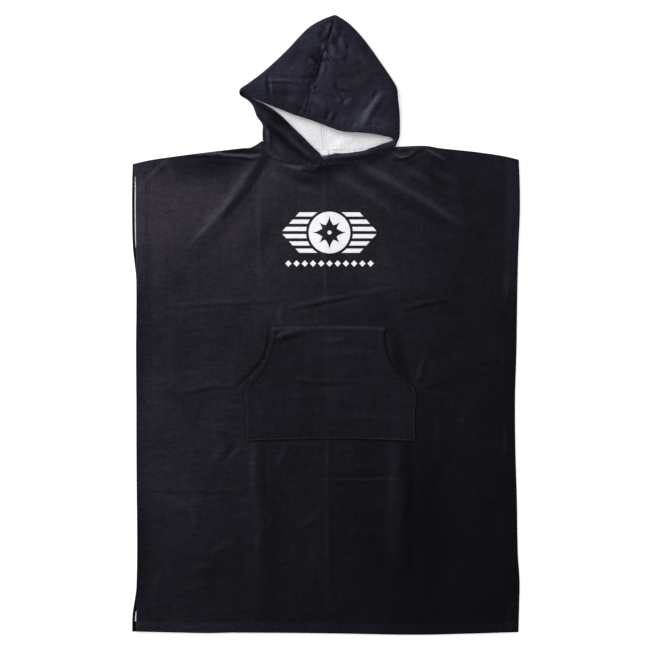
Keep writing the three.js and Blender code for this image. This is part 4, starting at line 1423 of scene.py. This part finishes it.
def stitch_line(path, thread_radius):
    """Points and faces of a row of stitches along a path on the cloth, in millimetres."""
    steps = np.linalg.norm(np.diff(path, axis=0), axis=1)
    along = np.concatenate([[0], np.cumsum(steps)])
    count = int((along[-1] - STITCH_LENGTH) / STITCH_PITCH) + 1
    spare = along[-1] - (count - 1) * STITCH_PITCH - STITCH_LENGTH
    starts = np.arange(count) * STITCH_PITCH + spare / 2
    places = starts[:, None] + THREAD_RINGS["along"] * STITCH_LENGTH
    centre = np.stack([np.interp(places, along, path[:, k]) for k in range(3)], axis=-1)
    ahead = centre[:, -1] - centre[:, 0]
    ahead /= np.linalg.norm(ahead, axis=1, keepdims=True)
    up = np.array([0.0, 0.0, 1.0]) - ahead * ahead[:, 2:3]
    up /= np.linalg.norm(up, axis=1, keepdims=True)
    side = np.cross(ahead, up)
    centre = centre + up[:, None] * (THREAD_RINGS["rise"] * thread_radius)[:, None]
    turn = np.arange(THREAD_SIDES) * 2 * np.pi / THREAD_SIDES
    ring = np.cos(turn)[:, None] * side[:, None, None] + np.sin(turn)[:, None] * up[:, None, None]
    points = centre[:, :, None] + ring * (THREAD_RINGS["girth"] * thread_radius)[:, None, None]
    index = np.arange(points[..., 0].size).reshape(points.shape[:3])
    after = np.roll(index, -1, axis=2)
    faces = np.stack([index[:, :-1], index[:, 1:], after[:, 1:], after[:, :-1]], axis=-1)
    return points.reshape(-1, 3), faces.reshape(-1, 4)


def sewing(name, paths, material, radius=THREAD_RADIUS):
    points, faces, offset = [], [], 0
    for path in paths:
        line_points, line_faces = stitch_line(path, radius)
        points.append(line_points)
        faces.append(line_faces + offset)
        offset += len(line_points)
    mesh = bpy.data.meshes.new(name)
    points = (np.concatenate(points) + ORIGIN) * MM
    mesh.from_pydata(points.tolist(), [], np.concatenate(faces).tolist())
    mesh.update()
    piece = new_piece(name, mesh, material)
    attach(piece, "root")


def body_stitches():
    """Bottom hem, armholes and side seams, on the front."""
    def on_front(x, y, lift):
        top = FRONT_UNDERSIDE + front_rise(x, y) + CLOTH + front_relief(x, y)
        return stack(x, y, top + lift)

    on_hem = HEM_EXTRA - STITCH_GROOVE
    x = np.arange(*HEM_STITCHES, PATH_STEP)
    paths = [on_front(x, read(HEM_LINE, "x", "y", x) + HEM_DEPTH - STITCH_INSIDE, on_hem)]
    seam = VENT_HEAD, ARMHOLE_FOOT
    rows = ((ARMHOLE_STITCHES, ARMHOLE_DEPTH - STITCH_INSIDE, on_hem), (seam, SEAM_STITCH, -0.5))
    for ends, inside, lift in rows:
        y = np.arange(*ends, PATH_STEP)
        for column, inwards in (("left", inside), ("right", -inside)):
            paths.append(on_front(read(FRONT_SIDES, "y", column, y) + inwards, y, lift))
    return paths


velour_body = velour("velour_black", (0.0018, 0.0016, 0.0026), (0.0425, 0.0372, 0.0540), 1.15, True)
velour_hood = velour("velour_navy", (0.0026, 0.0026, 0.0041), (0.0560, 0.0556, 0.0890), 1.25)
terry = terry_cloth()
tape = woven_tape()
black_thread = thread("thread_black", (0.003, 0.003, 0.005), (0.008, 0.008, 0.012))
grey_thread = thread("thread_grey", (0.026, 0.025, 0.031), (0.058, 0.056, 0.067))

back_panel()
front_panel()
pocket_outline, pocket_hems = kangaroo_pocket()
left_piece, left_hem, left_seam = hood_half("poncho_hood_left", HOOD_LEFT, -1, "hood_left")
right_piece, right_hem, _ = hood_half("poncho_hood_right", HOOD_RIGHT, 1, "hood_right")
neck_label()
sewing("stitches_body", body_stitches(), black_thread)
sewing("stitches_pocket", pocket_outline, grey_thread, 0.4)
sewing("stitches_pocket_openings", pocket_hems, black_thread)
sewing("stitches_face_hem", [left_hem, right_hem], black_thread)
centre_line = left_seam - (BACK_STITCH_SHIFT, 0, 0)
sewing("stitches_centre_back", [centre_line], black_thread, 0.3)


# Floor, light and camera

def studio():
    bpy.ops.mesh.primitive_plane_add(size=FLOOR_SIZE, location=(0, 0, -FLOOR_DROP))
    floor = bpy.context.object
    floor.name = "floor"
    floor.data.materials.append(floor_paint())
    floor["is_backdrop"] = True
    world = bpy.data.worlds.new("studio")
    world.use_nodes = True
    sky = world.node_tree.nodes["Background"].inputs
    sky["Color"].default_value = (1.0, 1.0, 1.0, 1)
    sky["Strength"].default_value = SKY_STRENGTH
    bpy.context.scene.world = world
    for name, place, size, power in LAMPS:
        data = bpy.data.lights.new(name, "AREA")
        data.shape = "SQUARE"
        data.size = size
        data.energy = power
        lamp = bpy.data.objects.new(name, data)
        lamp.location = place
        lamp.rotation_euler = (-lamp.location.normalized()).to_track_quat("-Z", "Y").to_euler()
        bpy.context.scene.collection.objects.link(lamp)


def camera():
    data = bpy.data.cameras.new("camera")
    eye = bpy.data.objects.new("camera", data)
    eye.location = EYE
    data.sensor_width = SENSOR
    data.lens = SENSOR * (EYE[2] - CLOTH_TOP) / PICTURE_WIDTH
    bpy.context.scene.collection.objects.link(eye)
    bpy.context.scene.camera = eye


studio()
camera()
bpy.context.scene.view_settings.view_transform = "Standard"

boxes = {"cad": cad_box, "visual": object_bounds()}
{name: [list(map(float, corner)) for corner in box] for name, box in boxes.items()}
